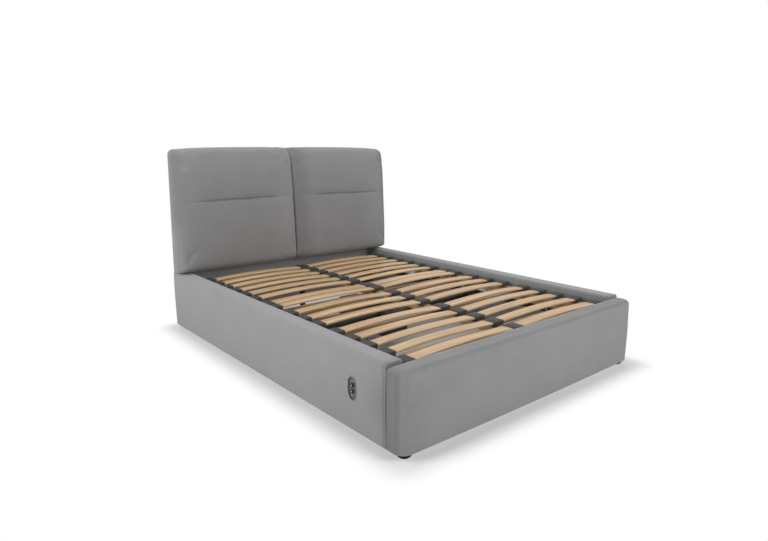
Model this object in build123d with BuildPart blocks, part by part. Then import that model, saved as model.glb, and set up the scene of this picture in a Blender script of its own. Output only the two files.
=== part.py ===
"""Adjustable bed base: an upholstered bedstead round a motor driven, four section slatted deck.

Millimetres, +Z up. The origin is on the floor under the middle of the bed, with the headboard
towards +Y, the footboard towards -Y and the switch in the rail on the -X side.
"""

import os
from math import cos, hypot, radians, sin, sqrt

from build123d import *

os.makedirs("parts", exist_ok=True)

# Bedstead
mattress_length = 2000.0
mattress_width = 1500.0
mattress_side_gap = 7.0
mattress_end_gap = 2.5
mattress_recess = 22.0
side_rail_thickness = 88.0
footboard_thickness = 105.0
footboard_corner_radius = 50.0
footboard_crown = 7.0
footboard_drop = 10.0
rail_crown = 3.0
rail_edge_radius = 14.0
floor_gap = 22.0
rail_height = 358.0
headboard_panel_thickness = 40.0
headboard_panel_side_inset = 5.0
headboard_panel_top_inset = 35.0
headboard_panel_radius = 40.0
soft_clearance = 0.3

# Headboard cushions
cushion_depth = 140.0
cushion_lean = 92.0
cushion_bottom_swell = 18.0
cushion_height = 806.0
cushion_overhang = 13.0
cushion_split = 2.0
cushion_crease_height = 472.0
cushion_crease_depth = 18.0
cushion_crease_fade = 170.0
cushion_crown = 16.0
cushion_top_crown = 10.0
cushion_end_radius = 56.0
cushion_end_share = 0.5
cushion_split_share = 0.74
cushion_corner_drop = 34.0
cushion_split_drop = 16.0
cushion_top_roll = 34.0
cushion_bottom_roll = 40.0
seam_hollow = 2.0

# Feet
glide_diameter = 60.0
glide_inset = 55.0
glide_side_inset = 52.0
centre_leg_diameter = 40.0
centre_leg_wall = 2.0
centre_foot_diameter = 58.0
centre_foot_height = 24.0
foot_chamfer = 8.0

# Steel ledgers and corner brackets inside the rails
ledger_width = 30.0
ledger_height = 40.0
ledger_thickness = 4.0
ledger_end_gap = 40.0
bracket_leg = 60.0
bracket_height = 120.0
bracket_thickness = 4.0
bracket_bottom = 76.0
bracket_hole_diameter = 9.0

# Deck sections
deck_end_gap = 10.0
back_length = 730.0
seat_length = 240.0
thigh_length = 410.0
base_member_width = 30.0
base_member_height = 40.0
base_side_gap = 5.0
section_side_gap = 7.0
section_rail_width = 25.0
section_rail_height = 40.0
centre_rail_width = 30.0
rest_gap = 0.3
nose_gap = 1.0
cross_bar_width = 25.0
cross_bar_height = 30.0

# Sprung slats and their rubber caps
slat_width = 60.0
slat_thickness = 12.0
slat_crown = 12.0
slat_middle_gap = 16.0
slat_rail_lap = 4.0
slat_end_gap = 0.4
slat_seat_clearance = 0.3
slat_rise_room = 2.0
slat_pitch = 120.0
seat_slat_pitch = 80.0
thigh_slat_pitch = 125.0
back_slat_start = 75.0
calf_slat_start = 75.0
slat_end_margin = 45.0
hinge_slat_margin = 60.0
cap_floor = 6.0
cap_roof = 4.0
cap_wall = 5.0
cap_grip = 27.0
cap_overhang = 12.0
cap_chamfer = 4.0

# Hinges
hinge_pin_diameter = 10.0
hinge_pin_head = 16.0
hinge_pin_head_height = 3.0
hinge_plate_thickness = 4.0
hinge_plate_reach = 62.0
hinge_plate_height = 36.0
pin_seat_clearance = 0.1
pin_running_clearance = 0.15

# Lift shafts, arms, rollers and pads
shaft_diameter = 34.0
shaft_wall = 3.0
shaft_drop = 100.0
shaft_set_off = 40.0
hanger_thickness = 6.0
hanger_width = 76.0
hanger_top_gap = 2.0
bush_wall = 4.0
bush_flange = 2.0
shaft_running_clearance = 0.1
weld_clearance = 0.05
arm_thickness = 10.0
arm_side_gap = 2.0
arm_eye_radius = 27.0
arm_nose_radius = 14.0
back_arm_length = 290.0
leg_arm_length = 190.0
pad_rise = 40.0
roller_diameter = 36.0
roller_width = 21.0
roller_pin_diameter = 12.0
roller_pin_head = 18.0
roller_clearance = 0.2
roller_pad_gap = 0.3
roller_side_gap = 2.0

# Calf section rollers
calf_roller_diameter = 32.0
calf_roller_width = 24.0
calf_roller_from_end = 42.0

# Twin drive
case_half_width = 80.0
case_end_beyond_shaft = 85.0
case_leg_end_beyond_shaft = 95.0
case_wall = 4.0
case_top_above_shaft = 34.0
case_bottom_below_shaft = 120.0
case_corner_radius = 18.0
case_joint_gap = 0.2
case_shaft_clearance = 0.3
case_rib_height = 3.0
lever_length = 100.0
lever_cheek = 10.0
lever_cheek_gap = 32.0
lever_eye_radius = 25.0
lever_nose_radius = 14.0
lever_width = 16.0
back_swing = 60.0
leg_swing = 35.0
back_slider_gap = 1.3
leg_slider_gap = 0.6
slider_length = 44.0
slider_half_width = 30.0
slider_height = 50.0
slider_chamfer = 4.0
slider_finger = 24.0
slider_finger_width = 18.0
spindle_diameter = 14.0
spindle_height_from_floor = 30.0
spindle_clearance = 0.2
spindle_seat_depth = 10.0
spindle_end_gap = 3.0
gearbox_half_width = 50.0
gearbox_slider_gap = 7.0
gearbox_height = 64.0
motor_can_diameter = 60.0
motor_can_spacing = 76.0

# Control box
control_box_length = 180.0
control_box_height = 48.0
control_box_offset = 150.0
control_box_radius = 8.0
socket_depth = 12.0
connector_bay_width = 110.0
connector_bay_height = 24.0
connector_bay_radius = 3.0
inlet_width = 26.0
inlet_height = 14.0

# Seat and end cross members
seat_cross_inset = 45.0
head_cross_inset = 25.0
calf_cross_from_knee = 375.0

# Rail switch
switch_from_foot = 320.0
switch_height = 211.0
switch_length = 103.0
switch_width = 57.0
switch_plate_thickness = 4.0
switch_rim = 7.0
switch_rim_depth = 1.5
switch_edge_chamfer = 1.2
housing_depth = 38.0
housing_clearance = 0.3
button_diameter = 20.0
button_spacing = 27.0
button_proud = 3.2
button_height = 12.0
button_travel = 2.0
button_clearance = 0.4
button_dish = 0.6
button_dish_diameter = 14.0
button_edge_chamfer = 0.8
button_stem_diameter = 8.0
button_stem_length = 10.0

# Plan of the bedstead
inner_half = mattress_width / 2 + mattress_side_gap
outer_half = inner_half + side_rail_thickness
headboard_depth = cushion_depth + headboard_panel_thickness
bed_length = footboard_thickness + mattress_length + 2 * mattress_end_gap + headboard_depth
foot_y = -bed_length / 2
head_y = bed_length / 2
foot_inner_y = foot_y + footboard_thickness
panel_front_y = head_y - headboard_panel_thickness
cushion_front_y = panel_front_y - cushion_depth
rail_top = floor_gap + rail_height
cushion_half_width = outer_half + cushion_overhang

# Levels of the deck
slat_end_bottom = rail_top - mattress_recess - slat_crown - slat_thickness
section_top = slat_end_bottom - cap_floor
hinge_z = section_top - section_rail_height / 2
section_bottom = hinge_z - section_rail_height / 2
base_top = section_bottom - rest_gap
base_bottom = base_top - base_member_height

# Plan of the deck
deck_head_y = cushion_front_y - deck_end_gap
deck_foot_y = foot_inner_y + deck_end_gap
back_hinge_y = deck_head_y - back_length
thigh_hinge_y = back_hinge_y - seat_length
knee_y = thigh_hinge_y - thigh_length
nose_radius = section_rail_height / 2
nose_reach = nose_radius + nose_gap
base_outer = inner_half - base_side_gap
base_inner = base_outer - base_member_width
rail_outer = base_inner - section_side_gap
rail_inner = rail_outer - section_rail_width
centre_half = centre_rail_width / 2
rail_edges = ((rail_inner, rail_outer), (-rail_outer, -rail_inner), (-centre_half, centre_half))

# Lift geometry: hinge, shaft, roller and pad centre stand on a parallelogram, so an arm that
# turns as far as its section keeps its roller on the round pad
shaft_z = hinge_z - shaft_drop
back_shaft_y = back_hinge_y + shaft_set_off
leg_shaft_y = thigh_hinge_y - shaft_set_off
back_arm_run = sqrt(back_arm_length**2 - pad_rise**2)
leg_arm_run = sqrt(leg_arm_length**2 - pad_rise**2)
arm_end_z = shaft_z + pad_rise
pad_radius = hypot(shaft_drop, shaft_set_off) - roller_diameter / 2 - roller_pad_gap
arm_outer = rail_inner - arm_side_gap
roller_inner = arm_outer + roller_side_gap + arm_side_gap
hanger_outer = base_inner
hanger_inner = hanger_outer - hanger_thickness

# Drive geometry
case_top = shaft_z + case_top_above_shaft
case_bottom = shaft_z - case_bottom_below_shaft
case_head_y = back_shaft_y + case_end_beyond_shaft
case_foot_y = leg_shaft_y - case_leg_end_beyond_shaft
case_floor = case_bottom + case_wall
spindle_z = case_floor + spindle_height_from_floor
back_lever_y = back_shaft_y - lever_length * sin(radians(back_swing / 2))
back_lever_z = shaft_z - lever_length * cos(radians(back_swing / 2))
leg_lever_y = leg_shaft_y + lever_length * sin(radians(leg_swing / 2))
leg_lever_z = shaft_z - lever_length * cos(radians(leg_swing / 2))
back_push_y = back_lever_y - lever_nose_radius - back_slider_gap
leg_push_y = leg_lever_y + lever_nose_radius + leg_slider_gap
gearbox_range = (
    leg_push_y + slider_length + gearbox_slider_gap,
    back_push_y - slider_length - gearbox_slider_gap,
)
gearbox_length = gearbox_range[1] - gearbox_range[0]

# Slat rows, as many as each section has room for
calf_length = knee_y - deck_foot_y
back_slat_count = int((back_length - back_slat_start - slat_end_margin) // slat_pitch) + 1
seat_slat_count = int((seat_length - 2 * hinge_slat_margin) // seat_slat_pitch) + 1
thigh_slat_count = int((thigh_length - 2 * hinge_slat_margin) // thigh_slat_pitch) + 1
calf_slat_count = int((calf_length - calf_slat_start - slat_end_margin) // slat_pitch) + 1
back_rows = [back_hinge_y + back_slat_start + slat_pitch * row for row in range(back_slat_count)]
calf_rows = [knee_y - calf_slat_start - slat_pitch * row for row in range(calf_slat_count)]
seat_middle_y = back_hinge_y - seat_length / 2
thigh_middle_y = thigh_hinge_y - thigh_length / 2


def centred_rows(middle, pitch, count):
    """Y places of evenly spaced slats about a middle line."""
    return [middle + pitch * (row - (count - 1) / 2) for row in range(count)]


seat_rows = centred_rows(seat_middle_y, seat_slat_pitch, seat_slat_count)
thigh_rows = centred_rows(thigh_middle_y, thigh_slat_pitch, thigh_slat_count)


def bar(x_range, y_range, z_range):
    """A square edged bar between three pairs of faces, in the active part."""
    sides = [high - low for low, high in (x_range, y_range, z_range)]
    middle = tuple((low + high) / 2 for low, high in (x_range, y_range, z_range))
    with Locations(middle):
        Box(*sides)


def rod(x_range, y, z, diameter, mode=Mode.ADD):
    """A round rod along X, in the active part."""
    with BuildSketch(Plane.YZ.offset(x_range[0])) as profile:
        with Locations((y, z)):
            Circle(diameter / 2)
    extrude(profile.sketch, amount=x_range[1] - x_range[0], mode=mode)


def tapered_plate(x_range, root, root_radius, tip, tip_radius, bore_diameter):
    """A plate across X whose outline runs from a round eye, which is bored, to a round nose."""
    with BuildSketch(Plane.YZ.offset(x_range[0])) as profile:
        with Locations(root):
            Circle(root_radius)
        with Locations(tip):
            Circle(tip_radius)
        make_hull()
        with Locations(root):
            Circle(bore_diameter / 2, mode=Mode.SUBTRACT)
    extrude(profile.sketch, amount=x_range[1] - x_range[0])


def section_rails(y_near, y_far, hinge_y):
    """Three rails of a moving section, with a bored round nose on the hinge end."""
    bore = hinge_pin_diameter + 2 * pin_running_clearance
    for x_low, x_high in rail_edges:
        with BuildSketch(Plane.YZ.offset(x_low)) as profile:
            with Locations(((y_near + y_far) / 2, hinge_z)):
                Rectangle(abs(y_far - y_near), section_rail_height)
            with Locations((hinge_y, hinge_z)):
                Circle(nose_radius)
                Circle(bore / 2, mode=Mode.SUBTRACT)
        extrude(profile.sketch, amount=x_high - x_low)


def hinge_plates(hinge_y, towards):
    """Plates on both sides of each rail, from the hinge axis back onto the carrying rail."""
    far_y = hinge_y + towards * hinge_plate_reach
    for x_low, x_high in rail_edges:
        for x in (x_low - hinge_plate_thickness, x_high):
            with BuildSketch(Plane.YZ.offset(x)) as profile:
                with Locations(((hinge_y + far_y) / 2, hinge_z)):
                    Rectangle(hinge_plate_reach, hinge_plate_height)
                with Locations((hinge_y, hinge_z)):
                    Circle(hinge_plate_height / 2)
                    Circle(hinge_pin_diameter / 2 + pin_seat_clearance, mode=Mode.SUBTRACT)
            extrude(profile.sketch, amount=hinge_plate_thickness)


def hinge_pins(hinge_y):
    """One headed pin through the plates and nose of each rail."""
    for x_low, x_high in rail_edges:
        inner_side = -1 if x_low >= 0 else 1
        low = x_low - hinge_plate_thickness
        high = x_high + hinge_plate_thickness
        rod((low, high), hinge_y, hinge_z, hinge_pin_diameter)
        head = (low - hinge_pin_head_height, low) if inner_side < 0 else (high, high + hinge_pin_head_height)
        rod(head, hinge_y, hinge_z, hinge_pin_head)


def cross_bars(y_start):
    """A bar between the centre rail and each side rail, from y_start towards +Y."""
    z_range = (hinge_z - cross_bar_height / 2, hinge_z + cross_bar_height / 2)
    for x_range in ((centre_half, rail_inner), (-rail_inner, -centre_half)):
        bar(x_range, (y_start, y_start + cross_bar_width), z_range)


slat_near = slat_middle_gap / 2
slat_far = rail_inner + slat_rail_lap
slat_middle = (slat_near + slat_far) / 2
cap_length = slat_width + 2 * (cap_wall + slat_end_gap)
cap_height = cap_floor + slat_thickness + slat_rise_room + cap_roof
pocket_height = slat_thickness + 2 * slat_seat_clearance + slat_rise_room
pocket_bottom = slat_end_bottom - slat_seat_clearance


def slats(rows):
    """Pairs of crowned, sprung slats."""
    for y in rows:
        with BuildSketch(Plane.XZ.offset(-y - slat_width / 2)) as profile:
            with BuildLine():
                low_start = (slat_near, slat_end_bottom)
                low_end = (slat_far, slat_end_bottom)
                high_end = (slat_far, slat_end_bottom + slat_thickness)
                high_start = (slat_near, slat_end_bottom + slat_thickness)
                ThreePointArc(low_start, (slat_middle, slat_end_bottom + slat_crown), low_end)
                Line(low_end, high_end)
                ThreePointArc(high_end, (slat_middle, high_end[1] + slat_crown), high_start)
                Line(high_start, low_start)
            make_face()
        extrude(profile.sketch, amount=slat_width)
    mirror(about=Plane.YZ)


def slat_caps(rows):
    """Rubber caps on the side rails and double caps on the centre rail, with slat pockets."""
    pocket_width = slat_width + 2 * slat_end_gap
    cap_outer = rail_outer + cap_overhang
    cap_inner = slat_far - cap_grip
    centre_reach = slat_near + cap_grip
    with BuildSketch(Plane.XY.offset(section_top)) as profile:
        for y in rows:
            with Locations(((cap_inner + cap_outer) / 2, y), (-(cap_inner + cap_outer) / 2, y)):
                Rectangle(cap_outer - cap_inner, cap_length)
            with Locations((0, y)):
                Rectangle(2 * centre_reach, cap_length)
        chamfer(profile.vertices(), length=cap_chamfer)
    extrude(profile.sketch, amount=cap_height)
    outer_depth = cap_grip + slat_end_gap
    with BuildSketch(Plane.XY.offset(pocket_bottom)) as profile:
        for y in rows:
            outer_x = cap_inner + outer_depth / 2
            centre_x = centre_reach - outer_depth / 2
            with Locations((outer_x, y), (-outer_x, y), (centre_x, y), (-centre_x, y)):
                Rectangle(outer_depth, pocket_width)
    extrude(profile.sketch, amount=pocket_height, mode=Mode.SUBTRACT)


def lift_pads(centre_y):
    """Round backed pads under the side rails, for the lift rollers to run on."""
    centre_z = hinge_z + pad_rise
    half_chord = sqrt(pad_radius**2 - (centre_z - section_bottom) ** 2)
    for x_low, x_high in rail_edges[:2]:
        with BuildSketch(Plane.YZ.offset(x_low)) as profile:
            with BuildLine():
                start = (centre_y - half_chord, section_bottom)
                end = (centre_y + half_chord, section_bottom)
                ThreePointArc(start, (centre_y, centre_z - pad_radius), end)
                Line(end, start)
            make_face()
        extrude(profile.sketch, amount=x_high - x_low)


def lift_shaft(shaft_y):
    """A torsion tube that runs from hanger to hanger."""
    rod((-hanger_outer, hanger_outer), shaft_y, shaft_z, shaft_diameter)
    bore = shaft_diameter - 2 * shaft_wall
    rod((-hanger_outer, hanger_outer), shaft_y, shaft_z, bore, Mode.SUBTRACT)


def lift_arms(shaft_y, end_y):
    """Arms welded to the shaft, each with a headed pin for its roller."""
    eye_bore = shaft_diameter + 2 * weld_clearance
    pin_end = roller_inner + roller_width + roller_clearance
    for side in (1, -1):
        x_range = sorted((side * (arm_outer - arm_thickness), side * arm_outer))
        root = (shaft_y, shaft_z)
        tip = (end_y, arm_end_z)
        tapered_plate(x_range, root, arm_eye_radius, tip, arm_nose_radius, eye_bore)
        rod(sorted((side * arm_outer, side * pin_end)), *tip, roller_pin_diameter)
        rod(sorted((side * pin_end, side * rail_outer)), *tip, roller_pin_head)


def drive_lever(shaft_y, tip_y, tip_z):
    """A forked lever welded to the shaft, whose two round noses straddle the spindle."""
    eye_bore = shaft_diameter + 2 * weld_clearance
    half_gap = lever_cheek_gap / 2
    for x_low in (half_gap, -half_gap - lever_cheek):
        with BuildSketch(Plane.YZ.offset(x_low)) as profile:
            with Locations((shaft_y, shaft_z), (tip_y, tip_z)):
                Circle(lever_width / 2)
            make_hull()
            with Locations((shaft_y, shaft_z)):
                Circle(lever_eye_radius)
                Circle(eye_bore / 2, mode=Mode.SUBTRACT)
            with Locations((tip_y, tip_z)):
                Circle(lever_nose_radius)
        extrude(profile.sketch, amount=lever_cheek)
    rod((-half_gap, half_gap), shaft_y, shaft_z, 2 * lever_eye_radius)
    rod((-half_gap, half_gap), shaft_y, shaft_z, eye_bore, Mode.SUBTRACT)


def roller(x_range, y, z, diameter, bore):
    """A nylon roller with chamfered rims, bored for its pin."""
    rod(x_range, y, z, diameter)
    rims = edges().filter_by(GeomType.CIRCLE)
    chamfer(rims, length=1.5)
    rod(x_range, y, z, bore, Mode.SUBTRACT)


def slider(push_y, towards):
    """A nut block on its spindle, with two low fingers that push the lever's noses."""
    back_y = push_y - towards * slider_length
    finger_y = push_y - towards * slider_finger
    low_z = spindle_z - slider_height / 2
    block = (-slider_half_width, slider_half_width)
    bar(block, sorted((back_y, finger_y)), (low_z, low_z + slider_height))
    chamfer(edges().filter_by(Axis.Y), length=slider_chamfer)
    finger_inner = slider_half_width - slider_finger_width
    for finger in ((finger_inner, slider_half_width), (-slider_half_width, -finger_inner)):
        bar(finger, sorted((finger_y, push_y)), (low_z + slider_chamfer, spindle_z))
    with BuildSketch(Plane.XZ.offset(-back_y)) as profile:
        with Locations((0, spindle_z)):
            Circle(spindle_diameter / 2 + spindle_clearance)
    extrude(profile.sketch, amount=-towards * slider_length, mode=Mode.SUBTRACT)


def spindle(y_range):
    """A round spindle along Y."""
    with BuildSketch(Plane.XZ.offset(-y_range[0])) as profile:
        with Locations((0, spindle_z)):
            Circle(spindle_diameter / 2)
    extrude(profile.sketch, amount=-(y_range[1] - y_range[0]))


def write(piece, name):
    """Labels a finished piece and writes it."""
    piece.part.label = name
    export_step(piece.part, f"parts/{name}.step")


# Rail switch places
switch_y = foot_y + switch_from_foot
switch_plane = Plane(origin=(-outer_half, switch_y, switch_height), x_dir=(0, 0, 1), z_dir=(-1, 0, 0))
button_places = ((button_spacing / 2, 0), (-button_spacing / 2, 0))
housing_length = switch_length - 2 * switch_rim
housing_width = switch_width - 2 * switch_rim


def rail_section(side):
    """The upholstered rail's section in XZ, with a slightly crowned outer face."""
    inner_x = side * inner_half
    edge_x = side * (outer_half - rail_crown)
    with BuildLine() as outline:
        Polyline((edge_x, floor_gap), (inner_x, floor_gap), (inner_x, rail_top), (edge_x, rail_top))
        ThreePointArc((edge_x, rail_top), (side * outer_half, (floor_gap + rail_top) / 2), (edge_x, floor_gap))
    make_face(outline.edges())


with BuildPart() as left_side_rail:
    with BuildSketch(Plane.XZ.offset(-foot_inner_y)) as left_section:
        rail_section(-1)
        fillet(left_section.vertices(), radius=rail_edge_radius)
    extrude(amount=-(head_y - foot_inner_y))
    with BuildSketch(switch_plane.offset(-housing_depth - housing_clearance)):
        SlotOverall(housing_length + 2 * housing_clearance, housing_width + 2 * housing_clearance)
    extrude(amount=housing_depth + housing_clearance, mode=Mode.SUBTRACT)
write(left_side_rail, "left_side_rail")

with BuildPart() as right_side_rail:
    with BuildSketch(Plane.XZ.offset(-foot_inner_y)) as right_section:
        rail_section(1)
        fillet(right_section.vertices(), radius=rail_edge_radius)
    extrude(amount=-(head_y - foot_inner_y))
write(right_side_rail, "right_side_rail")

with BuildPart() as footboard:
    with BuildSketch(Plane.XY.offset(floor_gap)) as foot_plan:
        with BuildLine():
            edge_y = foot_y + footboard_crown
            Polyline(
                (-outer_half, edge_y), (-outer_half, foot_inner_y), (outer_half, foot_inner_y), (outer_half, edge_y)
            )
            ThreePointArc((outer_half, edge_y), (0, foot_y), (-outer_half, edge_y))
        make_face()
        fillet(foot_plan.vertices().sort_by(Axis.Y)[:2], radius=footboard_corner_radius)
    extrude(amount=rail_height - footboard_drop)
    fillet(footboard.faces().sort_by(Axis.Z)[-1].edges(), radius=rail_edge_radius)
    fillet(footboard.faces().sort_by(Axis.Z)[0].edges(), radius=rail_edge_radius / 2)
write(footboard, "footboard")

panel_half = outer_half - headboard_panel_side_inset
panel_top = rail_top + cushion_height - headboard_panel_top_inset
with BuildPart() as headboard_panel:
    with BuildSketch(Plane.XZ.offset(-panel_front_y)) as panel_face:
        with BuildLine():
            Polyline(
                (-inner_half, floor_gap),
                (inner_half, floor_gap),
                (inner_half, rail_top),
                (panel_half, rail_top),
                (panel_half, panel_top),
                (-panel_half, panel_top),
                (-panel_half, rail_top),
                (-inner_half, rail_top),
                close=True,
            )
        make_face()
        fillet(panel_face.vertices().group_by(Axis.Y)[-1], radius=headboard_panel_radius)
    extrude(amount=-headboard_panel_thickness)
write(headboard_panel, "headboard_panel")

cushion_back_y = panel_front_y - soft_clearance
cushion_bottom = rail_top + soft_clearance
cushion_top = rail_top + cushion_height
crease_z = rail_top + cushion_crease_height


def cushion_profile(edge_distance, half_width, end_share, corner_drop):
    """One upright section of a cushion, thinner and lower the nearer it is to a side seam."""
    near = min(edge_distance / cushion_end_radius, 1.0)
    swell = sqrt(1 - (1 - near) ** 2)
    share = end_share + (1 - end_share) * swell
    from_middle = 1 - edge_distance / half_width
    top = cushion_top - corner_drop * (1 - swell) - cushion_top_crown * from_middle**2
    crease = seam_hollow + cushion_crease_depth * min(edge_distance / cushion_crease_fade, 1.0)
    crown = seam_hollow + (cushion_crown - seam_hollow) * swell

    def front(z):
        """Y of the leaning front at a height."""
        lean = cushion_lean * (z - cushion_bottom) / cushion_height
        return cushion_back_y - share * (cushion_depth + cushion_bottom_swell - lean)

    high_roll = min(cushion_top_roll, 0.45 * (cushion_back_y - front(top) - crown))
    low_roll = min(cushion_bottom_roll, 0.45 * (cushion_back_y - front(cushion_bottom) - crown))
    back_low = (cushion_back_y, cushion_bottom + low_roll)
    back_high = (cushion_back_y, top - high_roll)
    front_high = (front(top - high_roll) + crown, top - high_roll)
    front_low = (front(cushion_bottom + low_roll) + crown, cushion_bottom + low_roll)
    fold = (front(crease_z) + crease, crease_z)
    upper_z = (front_high[1] + crease_z) / 2
    lower_z = (front_low[1] + crease_z) / 2
    with BuildLine() as outline:
        Line(back_low, back_high)
        ThreePointArc(back_high, ((front_high[0] + cushion_back_y) / 2, top), front_high)
        ThreePointArc(front_high, (front(upper_z), upper_z), fold)
        ThreePointArc(fold, (front(lower_z), lower_z), front_low)
        ThreePointArc(front_low, ((front_low[0] + cushion_back_y) / 2, cushion_bottom), back_low)
    make_face(outline.edges())


def cushion(side):
    """One headboard cushion, lofted from the middle split out to its side."""
    width = cushion_half_width - cushion_split / 2
    step = cushion_end_radius
    from_end = [0, step * 0.07, step * 0.28, step * 0.6, step, cushion_crease_fade]
    stations = from_end + [width / 2] + [width - distance for distance in reversed(from_end)]
    sections = []
    for distance in stations:
        x = side * (cushion_split / 2 + distance)
        plane = Plane(origin=(x, 0, 0), x_dir=(0, 1, 0), z_dir=(1, 0, 0))
        end_share, corner_drop = cushion_end_share, cushion_corner_drop
        if distance < width / 2:
            end_share, corner_drop = cushion_split_share, cushion_split_drop
        with BuildSketch(plane) as profile:
            cushion_profile(min(distance, width - distance), width / 2, end_share, corner_drop)
        sections.append(profile.sketch)
    loft(sections=sections, ruled=True)


with BuildPart() as left_headboard_cushion:
    cushion(-1)
write(left_headboard_cushion, "left_headboard_cushion")

with BuildPart() as right_headboard_cushion:
    cushion(1)
write(right_headboard_cushion, "right_headboard_cushion")

with BuildPart() as rail_ledgers:
    with BuildSketch(Plane.XZ.offset(-foot_inner_y - ledger_end_gap)):
        with BuildLine():
            tip_x = inner_half - ledger_width
            web_x = inner_half - ledger_thickness
            Polyline(
                (inner_half, base_bottom),
                (tip_x, base_bottom),
                (tip_x, base_bottom - ledger_thickness),
                (web_x, base_bottom - ledger_thickness),
                (web_x, base_bottom - ledger_height),
                (inner_half, base_bottom - ledger_height),
                close=True,
            )
        make_face()
    extrude(amount=-(deck_head_y - foot_inner_y - 2 * ledger_end_gap))
    mirror(about=Plane.YZ)
write(rail_ledgers, "rail_ledgers")

with BuildPart() as corner_brackets:
    for corner_y, towards in ((foot_inner_y, 1), (panel_front_y, -1)):
        with BuildSketch(Plane.XY.offset(bracket_bottom)):
            with BuildLine():
                Polyline(
                    (inner_half, corner_y),
                    (inner_half, corner_y + towards * bracket_leg),
                    (inner_half - bracket_thickness, corner_y + towards * bracket_leg),
                    (inner_half - bracket_thickness, corner_y + towards * bracket_thickness),
                    (inner_half - bracket_leg, corner_y + towards * bracket_thickness),
                    (inner_half - bracket_leg, corner_y),
                    close=True,
                )
            make_face()
        extrude(amount=bracket_height)
        for z in (bracket_bottom + bracket_height / 4, bracket_bottom + bracket_height * 3 / 4):
            hole_y = corner_y + towards * bracket_leg / 2
            rod((inner_half - bracket_thickness, inner_half), hole_y, z, bracket_hole_diameter, Mode.SUBTRACT)
    mirror(about=Plane.YZ)
write(corner_brackets, "corner_brackets")

glide_places = [
    (side * (outer_half - glide_side_inset), y)
    for side in (1, -1)
    for y in (foot_y + glide_inset, head_y - glide_inset)
]
seat_cross_starts = (
    thigh_hinge_y + seat_cross_inset,
    back_hinge_y - seat_cross_inset - base_member_width,
)
head_cross_start = deck_head_y - head_cross_inset - base_member_width
calf_cross_start = knee_y - calf_cross_from_knee - base_member_width
leg_places = [(0, start + base_member_width / 2) for start in (head_cross_start, calf_cross_start)]
with BuildPart() as glide_feet:
    with BuildSketch(Plane.XY):
        with Locations(*glide_places):
            Circle(glide_diameter / 2)
    extrude(amount=floor_gap)
    with BuildSketch(Plane.XY):
        with Locations(*leg_places):
            Circle(centre_foot_diameter / 2)
    extrude(amount=centre_foot_height)
    with BuildSketch(Plane.XY.offset(centre_foot_height / 2)):
        with Locations(*leg_places):
            Circle(centre_leg_diameter / 2 + weld_clearance)
    extrude(amount=centre_foot_height / 2, mode=Mode.SUBTRACT)
    chamfer(glide_feet.edges().group_by(Axis.Z)[0], length=foot_chamfer)
write(glide_feet, "glide_feet")

with BuildPart() as centre_legs:
    with BuildSketch(Plane.XY.offset(centre_foot_height / 2)):
        with Locations(*leg_places):
            Circle(centre_leg_diameter / 2)
            Circle(centre_leg_diameter / 2 - centre_leg_wall, mode=Mode.SUBTRACT)
    extrude(amount=base_bottom - centre_foot_height / 2)
write(centre_legs, "centre_legs")

with BuildPart() as base_side_members:
    bar((base_inner, base_outer), (deck_foot_y, deck_head_y), (base_bottom, base_top))
    chamfer(base_side_members.edges().filter_by(Axis.Y), length=2.0)
    mirror(about=Plane.YZ)
write(base_side_members, "base_side_members")

with BuildPart() as base_cross_members:
    for start in (*seat_cross_starts, head_cross_start, calf_cross_start):
        bar((-base_inner, base_inner), (start, start + base_member_width), (base_bottom, base_top))
write(base_cross_members, "base_cross_members")

seat_low_y = thigh_hinge_y + nose_reach
seat_high_y = back_hinge_y - nose_reach
with BuildPart() as seat_rails:
    for x_range in rail_edges:
        bar(x_range, (seat_low_y, seat_high_y), (base_top, section_top))
write(seat_rails, "seat_rails")

with BuildPart() as seat_slats:
    slats(seat_rows)
write(seat_slats, "seat_slats")

with BuildPart() as seat_slat_caps:
    slat_caps(seat_rows)
write(seat_slat_caps, "seat_slat_caps")

with BuildPart() as seat_hinge_plates:
    hinge_plates(back_hinge_y, -1)
    hinge_plates(thigh_hinge_y, 1)
write(seat_hinge_plates, "seat_hinge_plates")

with BuildPart() as seat_hinge_pins:
    hinge_pins(back_hinge_y)
    hinge_pins(thigh_hinge_y)
write(seat_hinge_pins, "seat_hinge_pins")

bush_diameter = shaft_diameter + 2 * shaft_running_clearance + 2 * bush_wall
with BuildPart() as shaft_hangers:
    for shaft_y in (back_shaft_y, leg_shaft_y):
        with BuildSketch(Plane.YZ.offset(hanger_inner)):
            with Locations((shaft_y, (shaft_z + base_top - hanger_top_gap) / 2)):
                Rectangle(hanger_width, base_top - hanger_top_gap - shaft_z)
            with Locations((shaft_y, shaft_z)):
                Circle(hanger_width / 2)
                Circle(bush_diameter / 2, mode=Mode.SUBTRACT)
        extrude(amount=hanger_thickness)
    mirror(about=Plane.YZ)
write(shaft_hangers, "shaft_hangers")

with BuildPart() as shaft_bushes:
    for shaft_y in (back_shaft_y, leg_shaft_y):
        rod((hanger_inner, hanger_outer), shaft_y, shaft_z, bush_diameter)
        rod((hanger_inner - bush_flange, hanger_inner), shaft_y, shaft_z, bush_diameter + 2 * bush_wall)
        bore = shaft_diameter + 2 * shaft_running_clearance
        rod((hanger_inner - bush_flange, hanger_outer), shaft_y, shaft_z, bore, Mode.SUBTRACT)
    mirror(about=Plane.YZ)
write(shaft_bushes, "shaft_bushes")

case_middle_y = (case_head_y + case_foot_y) / 2
case_length = case_head_y - case_foot_y


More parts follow.
